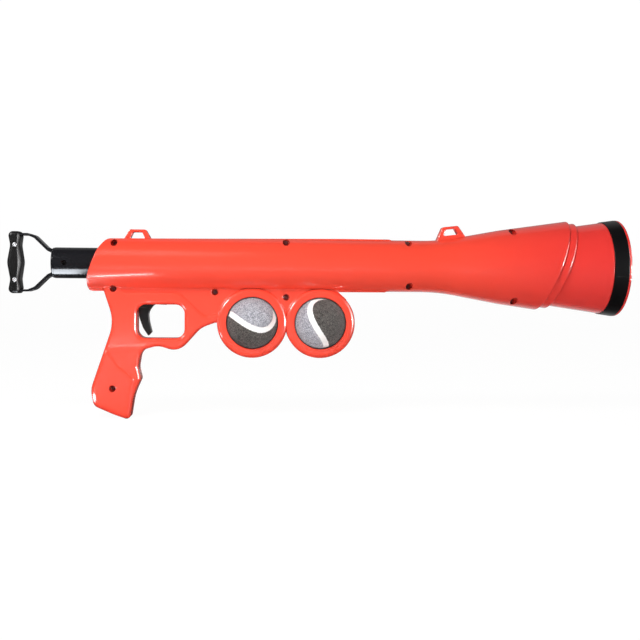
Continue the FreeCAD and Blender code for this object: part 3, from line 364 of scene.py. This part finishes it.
def skinMaterial(name, color, roughness, grainScale, grainDepth, drift, scuffs, edge=0.0004,
                 dark=0.9, **fixed):
    # fixed holds further values of the shader, by its input's name with _ for each space
    material, tree, shader = newMaterial(name)
    skin = tree.nodes.new("ShaderNodeGroup")
    skin.name = "skin"
    skin.node_tree = skinGroup
    for label, value in (("Color", (*color, 1)), ("Roughness", roughness),
                         ("Grain Scale", grainScale), ("Drift", drift), ("Scuffs", scuffs)):
        skin.inputs[label].default_value = value
    # the base colour carries painted shade in crevices, up to the share dark
    tree.links.new(paintedShade(tree, skin.outputs["Color"], dark), shader.inputs["Base Color"])
    tree.links.new(skin.outputs["Roughness"], shader.inputs["Roughness"])
    grain = bumpFrom(tree, skin.outputs["Height"], grainDepth)
    grain.node.name = "grain"
    tree.links.new(grain, shader.inputs["Normal"])
    rounded = tree.nodes.new("ShaderNodeBevel")
    rounded.samples = skinForm["samples"]
    rounded.inputs["Radius"].default_value = edge
    tree.links.new(rounded.outputs[0], grain.node.inputs["Normal"])
    for label, value in fixed.items():
        shader.inputs[label.replace("_", " ")].default_value = value
    return material


# ---- finishes

finishes = {
    "blackGloss": dict(color=(0.009, 0.009, 0.011), roughness=0.19, grainScale=300.0,
                       grainDepth=0.00002, drift=0.2, scuffs=0.6, Specular_IOR_Level=0.35),
    "blackGrip": dict(color=(0.0065, 0.0062, 0.0062), roughness=0.34, grainScale=1500.0,
                      grainDepth=0.00010, drift=0.3, scuffs=0.3, edge=0.0012,
                      Specular_IOR_Level=0.28),
    "blackRubber": dict(color=(0.0035, 0.003, 0.0035), roughness=0.32, grainScale=1100.0,
                        grainDepth=0.00005, drift=0.3, scuffs=0.4, Specular_IOR_Level=0.25),
    "steel": dict(color=(0.62, 0.61, 0.6), roughness=0.3, grainScale=1400.0,
                  grainDepth=0.00002, drift=0.15, scuffs=0.5, Metallic=1.0),
    "paleZinc": dict(color=(0.80, 0.80, 0.82), roughness=0.32, grainScale=1400.0,
                     grainDepth=0.00002, drift=0.1, scuffs=0.2, Metallic=0.45),
    # dark steel whose red-brown tint is a painted reflection of the red body around it, with less
    # painted crevice shade
    "darkSteelPaintedReflection": dict(color=(0.20, 0.085, 0.078), roughness=0.45, grainScale=1400.0,
                      grainDepth=0.00002, drift=0.2, scuffs=0.2, dark=0.5, Metallic=0.6),
    "innerPlastic": dict(color=(0.45, 0.45, 0.42), roughness=0.4, grainScale=500.0,
                         grainDepth=0.00004, drift=0.1, scuffs=0.3),
}
materials = {name: skinMaterial(name, **values) for name, values in finishes.items()}

bodyFinish = {"color": (0.88, 0.064, 0.033), "roughness": 0.25, "grainScale": 240.0,
              "grainDepth": 0.00002, "drift": 0.05, "scuffs": 0.03, "edge": 0.0020,
              "Coat_Weight": 0.45, "Coat_Roughness": 0.05}
# painted shade: the red deepens towards the muzzle, up to share of its color, from x from to full
muzzleShade = {"color": (0.86, 0.036, 0.034, 1), "from": -0.24, "full": 0.0, "share": 0.85}
partingLine = {"half": 0.00012, "fade": 0.00022, "color": (0.22, 0.008, 0.006, 1), "depth": 0.5}


def makeBodyPlastic():
    # moulded plastic, its red deepened towards the muzzle as painted shade, with the thin dark
    # two shells meet at y = 0
    material = skinMaterial("bodyPlastic", **bodyFinish)
    tree = material.node_tree
    shader, skin, grain = (tree.nodes[label] for label in ("Principled BSDF", "skin", "grain"))
    split = tree.nodes.new("ShaderNodeSeparateXYZ")
    tree.links.new(objectPoint(tree), split.inputs[0])
    share = spread(tree, split.outputs["X"], muzzleShade["from"], muzzleShade["full"], 0.0,
                   muzzleShade["share"])
    muzzleShaded = mixColor(tree, share, (*bodyFinish["color"], 1), muzzleShade["color"])
    tree.links.new(muzzleShaded, skin.inputs["Color"])
    away = sums(tree, "ABSOLUTE", split.outputs["Y"])
    inLine = spread(tree, away, partingLine["half"], partingLine["fade"], 1.0, 0.0)
    color = mixColor(tree, inLine, shader.inputs["Base Color"].links[0].from_socket,
                     partingLine["color"])
    tree.links.new(color, shader.inputs["Base Color"])
    dip = sums(tree, "MULTIPLY", inLine, partingLine["depth"])
    tree.links.new(sums(tree, "SUBTRACT", skin.outputs["Height"], dip), grain.inputs["Height"])
    return material


materials["bodyPlastic"] = makeBodyPlastic()
# the solids in ball_felt are hidden, so their finish is never seen
slotFinish = {"body_plastic": "bodyPlastic", "black_gloss_plastic": "blackGloss",
              "black_grip_plastic": "blackGrip", "black_rubber": "blackRubber",
              "steel": "steel", "inner_plastic": "innerPlastic", "ball_felt": "blackRubber"}


def dressNodes():
    for node in nodes.values():
        for slot in node.material_slots:
            slot.material = materials[slotFinish[slot.name]]
    print("finishes on", len(nodes), "nodes")


dressNodes()


# ---- geometry node helpers

def newForm(name, inputs):
    tree = bpy.data.node_groups.new(name, "GeometryNodeTree")
    tree.interface.new_socket("Geometry", in_out="INPUT", socket_type="NodeSocketGeometry")
    for label, kind, value in inputs:
        socket = tree.interface.new_socket(label, in_out="INPUT", socket_type="NodeSocket" + kind)
        if value is not None:
            socket.default_value = value
    tree.interface.new_socket("Geometry", in_out="OUTPUT", socket_type="NodeSocketGeometry")
    return tree, tree.nodes.new("NodeGroupInput").outputs, tree.nodes.new("NodeGroupOutput")


def add(tree, kind, links=None, **settings):
    # a node with its links and plain values by socket name or number
    node = tree.nodes.new(kind)
    for name, value in settings.items():
        setattr(node, name, value)
    for socket, value in (links or {}).items():
        feed(tree, node.inputs[socket], value)
    return node


def carryOut(name, base, tree, values):
    # runs a tree on a mesh and returns the result as a plain mesh object
    piece = bpy.data.objects.new(name, base)
    bpy.context.scene.collection.objects.link(piece)
    modifier = piece.modifiers.new("form", "NODES")
    modifier.node_group = tree
    for item in tree.interface.items_tree:
        if item.item_type == "SOCKET" and item.in_out == "INPUT" and item.name in values:
            modifier[item.identifier] = values[item.name]
    ready = piece.evaluated_get(bpy.context.evaluated_depsgraph_get())
    mesh = bpy.data.meshes.new_from_object(ready)
    piece.modifiers.clear()
    piece.data = mesh
    mesh.name = name
    print(name, "has", len(mesh.polygons), "faces")
    return piece


def islands(node):
    # the separate solids of a CAD node as boxes: lowest and highest corner of each
    work = bmesh.new()
    work.from_mesh(node.data)
    bmesh.ops.remove_doubles(work, verts=work.verts, dist=1e-6)
    left, boxes = set(work.verts), []
    while left:
        queue = [left.pop()]
        found = []
        while queue:
            vertex = queue.pop()
            found.append(vertex.co.copy())
            for edge in vertex.link_edges:
                other = edge.other_vert(vertex)
                if other in left:
                    left.remove(other)
                    queue.append(other)
        boxes.append((Vector([min(p[i] for p in found) for i in range(3)]),
                      Vector([max(p[i] for p in found) for i in range(3)])))
    work.free()
    return boxes


# ---- spare balls

# fibres is how many a ball would carry without its bare seam
ballForm = {"core": 0.9705, "seamHalf": 0.104, "seamDepth": 0.00055, "lump": 0.00016,
            "lumpScale": 700.0, "bend": 3.0, "fibres": 15000, "fibreLength": 0.00125,
            "fibreRadius": 0.00009, "lean": 1.05, "divisions": 6, "seamBlend": 0.03,
            "feltFrom": 1.04, "halfTurn": 3.14, "shortest": 0.6, "longest": 1.25}
balls = [
    {"node": "spare_ball_rear", "body": "rear_ball", "turn": (23.0, -145.4, 150.0), "seed": 4},
    {"node": "spare_ball_front", "body": "front_ball", "turn": (-1.3, 230.1, -282.8), "seed": 9},
]
feltTones = {"pale": (0.165, 0.17, 0.195, 1), "dark": (0.017, 0.015, 0.0135, 1),
             "seam": (0.90, 0.90, 0.88, 1), "paleFleck": (0.66, 0.66, 0.72, 1),
             "darkFleck": (0.16, 0.14, 0.125, 1)}
# dark, reach, deep and clear set the painted shade on the felt
feltForm = {"fleckScale": 34.0, "fleckFrom": 0.42, "fleckFull": 0.62, "fleckShare": 0.75,
            "swirlScale": 9.0, "swirlFrom": 0.35, "swirlFull": 0.7, "swirlShare": 0.25,
            "roughness": 0.95, "seamRoughness": 0.55, "fuzzScale": 90.0, "fuzzDepth": 0.0004,
            "fuzzStrength": 0.8, "sheen": 0.25, "sheenRoughness": 0.5, "dark": 0.85,
            "reach": 0.007, "deep": 0.25, "clear": 0.75}
seamForm = {"ragScale": 16.0, "rag": 0.05, "inside": -0.012, "outside": 0.010, "fade": 0.01}


def seamOffset(direction, turn):
    # signed distance to the seam on the unit ball; positive on the pale panel
    x, y, z = turn @ direction
    value = ballForm["bend"] * x * y - z
    slope = Vector((ballForm["bend"] * y, ballForm["bend"] * x, -1.0))
    slope -= slope.dot(Vector((x, y, z))) * Vector((x, y, z))
    return value / max(slope.length, 1e-6)


def makePanelGroup():
    tree, given, out = newGroup("ballPanels", [
        ("Centre", "Vector", (0, 0, 0)), ("Turn", "Vector", (0, 0, 0)), ("Bend", "Float", 3.0),
        ("Seam Half", "Float", 0.1),
    ], [("Pale", "Float"), ("Seam", "Float"), ("Direction", "Vector")])
    point = vectors(tree, "SUBTRACT", objectPoint(tree), given.outputs["Centre"])
    turned = tree.nodes.new("ShaderNodeVectorRotate")
    turned.rotation_type = "EULER_XYZ"
    tree.links.new(vectors(tree, "NORMALIZE", point), turned.inputs["Vector"])
    tree.links.new(given.outputs["Turn"], turned.inputs["Rotation"])
    split = tree.nodes.new("ShaderNodeSeparateXYZ")
    tree.links.new(turned.outputs[0], split.inputs[0])
    x, y, z = split.outputs
    bend = given.outputs["Bend"]
    slopeX = sums(tree, "MULTIPLY", y, bend)
    slopeY = sums(tree, "MULTIPLY", x, bend)
    value = sums(tree, "SUBTRACT", sums(tree, "MULTIPLY", slopeX, x), z)
    slope = tree.nodes.new("ShaderNodeCombineXYZ")
    for socket, part in zip(slope.inputs, (slopeX, slopeY, -1.0)):
        feed(tree, socket, part)
    along = vectors(tree, "DOT_PRODUCT", slope.outputs[0], turned.outputs[0])
    outward = tree.nodes.new("ShaderNodeVectorMath")
    outward.operation = "SCALE"
    tree.links.new(turned.outputs[0], outward.inputs[0])
    tree.links.new(along, outward.inputs["Scale"])
    steep = vectors(tree, "LENGTH", vectors(tree, "SUBTRACT", slope.outputs[0], outward.outputs[0]))
    ragged = sums(tree, "SUBTRACT", noiseOf(tree, turned.outputs[0], seamForm["ragScale"], 4.0),
                  0.5)
    offset = sums(tree, "DIVIDE", value, steep)
    half = given.outputs["Seam Half"]
    edge = sums(tree, "ADD", sums(tree, "ABSOLUTE", offset),
                sums(tree, "MULTIPLY", ragged, seamForm["rag"]))
    seam = spread(tree, sums(tree, "SUBTRACT", edge, half), seamForm["inside"],
                  seamForm["outside"], 1.0, 0.0)
    tree.links.new(spread(tree, offset, -seamForm["fade"], seamForm["fade"]), out.inputs["Pale"])
    tree.links.new(seam, out.inputs["Seam"])
    tree.links.new(turned.outputs[0], out.inputs["Direction"])
    return tree


panelGroup = makePanelGroup()


def makeFelt(name, centre, turn):
    material, tree, shader = newMaterial(name)
    panels = tree.nodes.new("ShaderNodeGroup")
    panels.node_tree = panelGroup
    for label, value in (("Centre", centre), ("Turn", turn), ("Bend", ballForm["bend"]),
                         ("Seam Half", ballForm["seamHalf"])):
        panels.inputs[label].default_value = value
    direction = panels.outputs["Direction"]
    fleck = spread(tree, noiseOf(tree, direction, feltForm["fleckScale"], 3.0, 0.7),
                   feltForm["fleckFrom"], feltForm["fleckFull"])
    swirl = spread(tree, noiseOf(tree, direction, feltForm["swirlScale"]),
                   feltForm["swirlFrom"], feltForm["swirlFull"])
    mottle = sums(tree, "ADD", sums(tree, "MULTIPLY", fleck, feltForm["fleckShare"]),
                  sums(tree, "MULTIPLY", swirl, feltForm["swirlShare"]))
    pale = mixColor(tree, mottle, feltTones["pale"], feltTones["paleFleck"])
    dark = mixColor(tree, mottle, feltTones["dark"], feltTones["darkFleck"])
    felt = mixColor(tree, panels.outputs["Pale"], dark, pale)
    color = mixColor(tree, panels.outputs["Seam"], felt, feltTones["seam"])
    # painted shade on the felt where nearby surfaces shut the light out, as at the ring's edge
    shaded = paintedShade(tree, color, feltForm["dark"], feltForm["reach"], feltForm["deep"],
                     feltForm["clear"])
    tree.links.new(shaded, shader.inputs["Base Color"])
    rough = spread(tree, panels.outputs["Seam"], 0.0, 1.0, feltForm["roughness"],
                   feltForm["seamRoughness"])
    tree.links.new(rough, shader.inputs["Roughness"])
    fuzz = noiseOf(tree, direction, feltForm["fuzzScale"], 5.0, 0.7)
    shown = sums(tree, "MULTIPLY", fuzz, sums(tree, "SUBTRACT", 1.0, panels.outputs["Seam"]))
    tree.links.new(bumpFrom(tree, shown, feltForm["fuzzDepth"], feltForm["fuzzStrength"]),
                   shader.inputs["Normal"])
    shader.inputs["Sheen Weight"].default_value = feltForm["sheen"]
    shader.inputs["Sheen Roughness"].default_value = feltForm["sheenRoughness"]
    return material


def makeFuzzForm():
    tree, given, out = newForm("feltFuzz", [
        ("Fibres per Area", "Float", 1e6), ("Length", "Float", 0.001), ("Radius", "Float", 0.0001),
        ("Lean", "Float", 1.0), ("Seed", "Int", 0), ("Felt", "Material", None),
    ])
    cover = add(tree, "GeometryNodeInputNamedAttribute", {"Name": "felt"}, data_type="FLOAT")
    scattered = add(tree, "GeometryNodeDistributePointsOnFaces", {
        "Mesh": given["Geometry"], "Seed": given["Seed"],
        "Density": sums(tree, "MULTIPLY", given["Fibres per Area"], cover.outputs["Attribute"])})
    fibre = add(tree, "GeometryNodeMeshCone", {
        "Vertices": 3, "Radius Top": 0.0, "Radius Bottom": given["Radius"],
        "Depth": given["Length"]}, fill_type="NGON")
    tilt = add(tree, "FunctionNodeRandomValue", {"Seed": given["Seed"]}, data_type="FLOAT_VECTOR")
    feed(tree, tilt.inputs[0], (-1.0, -1.0, -ballForm["halfTurn"]))
    feed(tree, tilt.inputs[1], (1.0, 1.0, ballForm["halfTurn"]))
    lean = add(tree, "ShaderNodeCombineXYZ", {0: given["Lean"], 1: given["Lean"], 2: 1.0})
    tilted = add(tree, "ShaderNodeVectorMath", {0: tilt.outputs[0], 1: lean.outputs[0]},
                 operation="MULTIPLY")
    turned = add(tree, "FunctionNodeRotateRotation", {
        "Rotation": scattered.outputs["Rotation"], "Rotate By": tilted.outputs[0]},
        rotation_space="LOCAL")
    size = add(tree, "FunctionNodeRandomValue", {"Seed": given["Seed"]}, data_type="FLOAT")
    feed(tree, size.inputs[2], ballForm["shortest"])
    feed(tree, size.inputs[3], ballForm["longest"])
    placed = add(tree, "GeometryNodeInstanceOnPoints", {
        "Points": scattered.outputs["Points"], "Instance": fibre.outputs["Mesh"],
        "Rotation": turned.outputs[0], "Scale": size.outputs[1]})
    both = add(tree, "GeometryNodeJoinGeometry")
    tree.links.new(given["Geometry"], both.inputs[0])
    tree.links.new(placed.outputs[0], both.inputs[0])
    real = add(tree, "GeometryNodeRealizeInstances", {0: both.outputs[0]})
    dressed = add(tree, "GeometryNodeSetMaterial", {0: real.outputs[0], "Material": given["Felt"]})
    tree.links.new(dressed.outputs[0], out.inputs[0])
    return tree


def makeBalls():
    fuzzForm = makeFuzzForm()
    for ball in balls:
        low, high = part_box(ball["node"])
        centre, radius = (low + high) / 2, (high.z - low.z) / 2
        angles = [math.radians(angle) for angle in ball["turn"]]
        turn = Euler(angles).to_matrix()
        work = bmesh.new()
        bmesh.ops.create_icosphere(work, subdivisions=ballForm["divisions"], radius=1.0)
        felt = work.verts.layers.float.new("felt")
        half = ballForm["seamHalf"]
        for vertex in work.verts:
            direction = vertex.co.normalized()
            away = abs(seamOffset(direction, turn))
            sunk = 1 - min(1, max(0, (away - half) / ballForm["seamBlend"]))
            sunk = sunk * sunk * (3 - 2 * sunk)
            lump = noise.noise(direction * radius * ballForm["lumpScale"]) * ballForm["lump"]
            reach = radius * ballForm["core"] - sunk * ballForm["seamDepth"] + (1 - sunk) * lump
            vertex.co = centre + direction * reach
            vertex[felt] = 1.0 if away > half * ballForm["feltFrom"] else 0.0
        mesh = bpy.data.meshes.new(ball["body"] + "_core")
        work.to_mesh(mesh)
        work.free()
        mesh.shade_smooth()
        material = makeFelt(ball["body"] + "Felt", centre, angles)
        area = 4 * math.pi * (radius * ballForm["core"]) ** 2
        piece = carryOut("felt_" + ball["node"], mesh, fuzzForm, {
            "Fibres per Area": ballForm["fibres"] / area, "Length": ballForm["fibreLength"],
            "Radius": ballForm["fibreRadius"], "Lean": ballForm["lean"], "Seed": ball["seed"],
            "Felt": material})
        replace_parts(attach(piece, ball["body"]), ball["node"])
    print("balls ready")


makeBalls()


# ---- handle grip

gripShape = {"pieces": ("handle_grip_right", "handle_grip_left"), "narrow": 0.0045, "from": 0.62,
             "crease": 38.0}


def makeGrips():
    # the halves of the handle, their finger side rounded away from the middle plane
    for name in gripShape["pieces"]:
        low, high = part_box(name)
        reach = max(abs(low.y), abs(high.y))
        start = low.x + (high.x - low.x) * gripShape["from"]
        work = bmesh.new()
        work.from_mesh(nodes[name].data)
        bmesh.ops.remove_doubles(work, verts=work.verts, dist=1e-6)
        for vertex in work.verts:
            share = max(0.0, (vertex.co.x - start) / (high.x - start))
            vertex.co.x -= gripShape["narrow"] * share * (vertex.co.y / reach) ** 2
        mesh = bpy.data.meshes.new("round_" + name)
        work.to_mesh(mesh)
        work.free()
        # the solid's own normals and slots no longer fit the rounded copy
        if "custom_normal" in mesh.attributes:
            mesh.attributes.remove(mesh.attributes["custom_normal"])
        mesh.shade_smooth()
        mesh.set_sharp_from_angle(angle=math.radians(gripShape["crease"]))
        mesh.materials.append(materials["blackGrip"])
        piece = bpy.data.objects.new("round_" + name, mesh)
        bpy.context.scene.collection.objects.link(piece)
        for face in mesh.polygons:
            face.material_index = 0
        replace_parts(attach(piece, "plunger"), name)
    print("handle grip ready")


makeGrips()


# ---- screws

screwSets = [
    {"node": "case_screws", "body": "launcher", "finish": "darkSteelPaintedReflection", "axis": "y",
     "headRadius": 0.0024, "headHeight": 0.0020, "seed": 3},
    {"node": "handle_screws", "body": "plunger", "finish": "paleZinc", "axis": "y",
     "headHeight": 0.0017, "armHalf": 0.0009, "armDepth": 0.0015, "seed": 5},
    {"node": "yoke_screw", "body": "plunger", "finish": "blackGrip", "axis": "y",
     "headHeight": 0.0020, "seed": 7},
    {"node": "pad_screw", "body": "plunger", "finish": "steel", "axis": "x",
     "headHeight": 0.0020, "seed": 8},
]
screwShape = {"shankRadius": 0.0015, "core": 0.78, "pitch": 0.0011, "dome": 0.22, "edge": 0.30,
              "armReach": 0.62, "armHalf": 0.00036, "armDepth": 0.0011, "edgePower": 6.0,
              "shankShare": 0.98, "neck": 1.4, "threadShare": 0.96, "threadStart": 0.985,
              "crest": 0.98, "quarterTurn": 1.57}


def makeScrewForm():
    # one cross-head screw, head up along z with its top at the point, set on every point
    tree, given, out = newForm("crossHeadScrew", [
        ("Head Radius", "Float", 0.003), ("Head Height", "Float", 0.002), ("Dome", "Float", 0.2),
        ("Edge", "Float", 0.3), ("Arm Reach", "Float", 0.002), ("Arm Half", "Float", 0.0004),
        ("Arm Depth", "Float", 0.001), ("Core Radius", "Float", 0.0012),
        ("Crest Radius", "Float", 0.0015), ("Length", "Float", 0.015), ("Turns", "Float", 12.0),
        ("Facing", "Rotation", None), ("Seed", "Int", 0), ("Finish", "Material", None),
    ])

    def mathOf(operation, first, second):
        return sums(tree, operation, first, second)

    blank = add(tree, "GeometryNodeMeshCylinder", {
        "Vertices": 40, "Side Segments": 6, "Fill Segments": 6, "Radius": 1.0, "Depth": 1.0})
    place = add(tree, "ShaderNodeSeparateXYZ", {0: add(tree, "GeometryNodeInputPosition").outputs[0]})
    x, y, z = place.outputs
    level = mathOf("ADD", z, 0.5)
    reachSquared = mathOf("ADD", mathOf("MULTIPLY", x, x), mathOf("MULTIPLY", y, y))
    rounding = mathOf("POWER", level, screwShape["edgePower"])
    narrow = mathOf("SUBTRACT", 1.0, mathOf("MULTIPLY", rounding, given["Edge"]))
    wide = mathOf("MULTIPLY", narrow, given["Head Radius"])
    drop = mathOf("MULTIPLY", mathOf("MULTIPLY", reachSquared, given["Dome"]),
                  mathOf("MULTIPLY", level, level))
    tall = mathOf("MULTIPLY", mathOf("SUBTRACT", mathOf("SUBTRACT", level, 1.0), drop),
                  given["Head Height"])
    domed = add(tree, "ShaderNodeCombineXYZ", {
        0: mathOf("MULTIPLY", x, wide), 1: mathOf("MULTIPLY", y, wide), 2: tall})
    head = add(tree, "GeometryNodeSetPosition", {
        "Geometry": blank.outputs["Mesh"], "Position": domed.outputs[0]})

    arms = []
    reach, half = given["Arm Reach"], given["Arm Half"]
    for first, second in ((reach, half), (half, reach)):
        size = add(tree, "ShaderNodeCombineXYZ", {
            0: mathOf("MULTIPLY", first, 2.0), 1: mathOf("MULTIPLY", second, 2.0),
            2: mathOf("MULTIPLY", given["Arm Depth"], 2.0)})
        arms.append(add(tree, "GeometryNodeMeshCube", {"Size": size.outputs[0]}).outputs["Mesh"])
    cross = add(tree, "GeometryNodeMeshBoolean", operation="UNION")
    for arm in arms:
        tree.links.new(arm, cross.inputs["Mesh 2"])
    cut = add(tree, "GeometryNodeMeshBoolean", {
        "Mesh 1": head.outputs[0], "Mesh 2": cross.outputs["Mesh"]}, operation="DIFFERENCE")

    low = mathOf("MULTIPLY", given["Length"], -1.0)
    shankMiddle = add(tree, "ShaderNodeCombineXYZ", {2: mathOf("MULTIPLY", low, 0.5)})
    shank = add(tree, "GeometryNodeMeshCylinder", {
        "Vertices": 20, "Radius": given["Core Radius"],
        "Depth": mathOf("MULTIPLY", low, -screwShape["shankShare"])})
    sunk = add(tree, "GeometryNodeTransform", {
        "Geometry": shank.outputs["Mesh"], "Translation": shankMiddle.outputs[0]})
    run = mathOf("SUBTRACT", given["Length"],
                 mathOf("MULTIPLY", given["Head Height"], screwShape["neck"]))
    helix = add(tree, "GeometryNodeCurveSpiral", {
        "Resolution": 18, "Rotations": given["Turns"], "Start Radius": given["Core Radius"],
        "End Radius": given["Core Radius"],
        "Height": mathOf("MULTIPLY", run, screwShape["threadShare"])})
    start = add(tree, "ShaderNodeCombineXYZ", {
        2: mathOf("MULTIPLY", low, screwShape["threadStart"])})
    lowered = add(tree, "GeometryNodeTransform", {
        "Geometry": helix.outputs["Curve"], "Translation": start.outputs[0]})
    ridge = add(tree, "GeometryNodeCurvePrimitiveCircle", {
        "Resolution": 4, "Radius": mathOf("SUBTRACT", given["Crest Radius"], given["Core Radius"])})
    thread = add(tree, "GeometryNodeCurveToMesh", {
        "Curve": lowered.outputs[0], "Profile Curve": ridge.outputs["Curve"], "Fill Caps": True})

    whole = add(tree, "GeometryNodeJoinGeometry")
    for part in (cut.outputs["Mesh"], sunk.outputs[0], thread.outputs["Mesh"]):
        tree.links.new(part, whole.inputs[0])
    twist = add(tree, "FunctionNodeRandomValue", {"Seed": given["Seed"]}, data_type="FLOAT")
    feed(tree, twist.inputs[2], 0.0)
    feed(tree, twist.inputs[3], screwShape["quarterTurn"])
    spin = add(tree, "FunctionNodeEulerToRotation", {
        0: add(tree, "ShaderNodeCombineXYZ", {2: twist.outputs[1]}).outputs[0]})
    turned = add(tree, "FunctionNodeRotateRotation", {
        "Rotation": given["Facing"], "Rotate By": spin.outputs[0]}, rotation_space="LOCAL")
    points = add(tree, "GeometryNodeMeshToPoints", {"Mesh": given["Geometry"]})
    placed = add(tree, "GeometryNodeInstanceOnPoints", {
        "Points": points.outputs[0], "Instance": whole.outputs[0], "Rotation": turned.outputs[0]})
    real = add(tree, "GeometryNodeRealizeInstances", {0: placed.outputs[0]})
    dressed = add(tree, "GeometryNodeSetMaterial", {0: real.outputs[0], "Material": given["Finish"]})
    tree.links.new(dressed.outputs[0], out.inputs[0])
    return tree


def makeScrews():
    form = makeScrewForm()
    facing = {"y": Euler((math.radians(90), 0, 0)), "x": Euler((0, math.radians(90), 0))}
    for screws in screwSets:
        boxes = islands(nodes[screws["node"]])
        along = "xyz".index(screws["axis"])
        tops = []
        for low, high in boxes:
            top = (low + high) / 2
            top[along] = low[along] if screws["axis"] == "y" else high[along]
            tops.append(top)
        size = boxes[0][1] - boxes[0][0]
        radius = screws.get("headRadius", size.z / 2)
        mesh = bpy.data.meshes.new(screws["node"] + "_places")
        mesh.from_pydata(tops, [], [])
        length = size[along]
        piece = carryOut("cross_" + screws["node"], mesh, form, {
            "Head Radius": radius, "Head Height": screws["headHeight"], "Dome": screwShape["dome"],
            "Edge": screwShape["edge"], "Arm Reach": radius * screwShape["armReach"],
            "Arm Half": screws.get("armHalf", screwShape["armHalf"]),
            "Arm Depth": screws.get("armDepth", screwShape["armDepth"]),
            "Core Radius": screwShape["shankRadius"] * screwShape["core"],
            "Crest Radius": screwShape["shankRadius"] * screwShape["crest"], "Length": length,
            "Turns": (length - screws["headHeight"]) / screwShape["pitch"],
            "Facing": facing[screws["axis"]], "Seed": screws["seed"],
            "Finish": materials[screws["finish"]]})
        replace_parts(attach(piece, screws["body"]), screws["node"])
    print("screws ready")


makeScrews()


# ---- springs

springs = [
    {"node": "drive_spring", "body": "launcher", "turns": 11.0, "closed": 1.0, "wire": 0.0009,
     "axis": "x", "steps": 44, "joint": "plunger_slide", "keep": 0.155},
    {"node": "trigger_spring", "body": "launcher", "turns": 6.0, "closed": 1.0, "wire": 0.0004,
     "axis": "z", "steps": 30, "joint": "trigger_pull", "keep": 0.40},
]


def makeSpringForm():
    # a compression spring along z from its origin, with closed coils at both ends
    tree, given, out = newForm("closedEndSpring", [
        ("Mean Radius", "Float", 0.02), ("Wire Radius", "Float", 0.001), ("Length", "Float", 0.1),
        ("Turns", "Float", 10.0), ("Closed", "Float", 1.0), ("Steps", "Int", 40),
        ("Facing", "Rotation", None), ("Start", "Vector", (0, 0, 0)), ("Finish", "Material", None),
    ])
    helix = add(tree, "GeometryNodeCurveSpiral", {
        "Resolution": given["Steps"], "Rotations": given["Turns"],
        "Start Radius": given["Mean Radius"], "End Radius": given["Mean Radius"], "Height": 1.0})
    at = add(tree, "GeometryNodeSplineParameter").outputs["Factor"]
    here = add(tree, "ShaderNodeSeparateXYZ", {0: add(tree, "GeometryNodeInputPosition").outputs[0]})
    ends = sums(tree, "DIVIDE", given["Closed"], given["Turns"])
    pile = sums(tree, "MULTIPLY", sums(tree, "MULTIPLY", given["Wire Radius"], 2.0), given["Closed"])
    bottom = given["Wire Radius"]
    top = sums(tree, "SUBTRACT", given["Length"], given["Wire Radius"])
    # three straight runs of height over turn: closed, open, closed
    rise = add(tree, "ShaderNodeMapRange", {
        0: at, 1: 0.0, 2: ends, 3: bottom, 4: sums(tree, "ADD", bottom, pile)})
    middle = add(tree, "ShaderNodeMapRange", {
        0: at, 1: ends, 2: sums(tree, "SUBTRACT", 1.0, ends), 3: 0.0,
        4: sums(tree, "SUBTRACT", sums(tree, "SUBTRACT", top, bottom),
                sums(tree, "MULTIPLY", pile, 2.0))})
    last = add(tree, "ShaderNodeMapRange", {
        0: at, 1: sums(tree, "SUBTRACT", 1.0, ends), 2: 1.0, 3: 0.0, 4: pile})
    height = sums(tree, "ADD", sums(tree, "ADD", rise.outputs[0], middle.outputs[0]),
                  last.outputs[0])
    moved = add(tree, "ShaderNodeCombineXYZ", {0: here.outputs[0], 1: here.outputs[1], 2: height})
    shaped = add(tree, "GeometryNodeSetPosition", {
        "Geometry": helix.outputs["Curve"], "Position": moved.outputs[0]})
    section = add(tree, "GeometryNodeCurvePrimitiveCircle", {
        "Resolution": 10, "Radius": given["Wire Radius"]})
    wire = add(tree, "GeometryNodeCurveToMesh", {
        "Curve": shaped.outputs[0], "Profile Curve": section.outputs["Curve"], "Fill Caps": True})
    turned = add(tree, "GeometryNodeTransform", {
        "Geometry": wire.outputs["Mesh"], "Translation": given["Start"], "Rotation": given["Facing"]})
    real = add(tree, "GeometryNodeRealizeInstances", {0: turned.outputs[0]})
    dressed = add(tree, "GeometryNodeSetMaterial", {0: real.outputs[0], "Material": given["Finish"]})
    tree.links.new(dressed.outputs[0], out.inputs[0])
    return tree


def makeSprings():
    form = makeSpringForm()
    for spring in springs:
        low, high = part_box(spring["node"])
        along = "xyz".index(spring["axis"])
        across = 1 if along == 2 else 2
        start = (low + high) / 2
        start[along] = low[along]
        seed = bpy.data.meshes.new(spring["node"] + "_seed")
        seed.from_pydata([start], [], [])
        piece = carryOut("coil_" + spring["node"], seed, form, {
            "Mean Radius": (high[across] - low[across]) / 2 - spring["wire"],
            "Wire Radius": spring["wire"], "Length": high[along] - low[along],
            "Turns": spring["turns"], "Closed": spring["closed"], "Steps": spring["steps"],
            "Facing": Euler((0, math.radians(90) if along == 0 else 0, 0)), "Start": start,
            "Finish": materials["steel"]})
        piece.data.shade_smooth()
        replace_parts(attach(piece, spring["body"]), spring["node"])
        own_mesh(piece)
    print("springs ready")


makeSprings()
bpy.context.scene.view_settings.view_transform = "Standard"
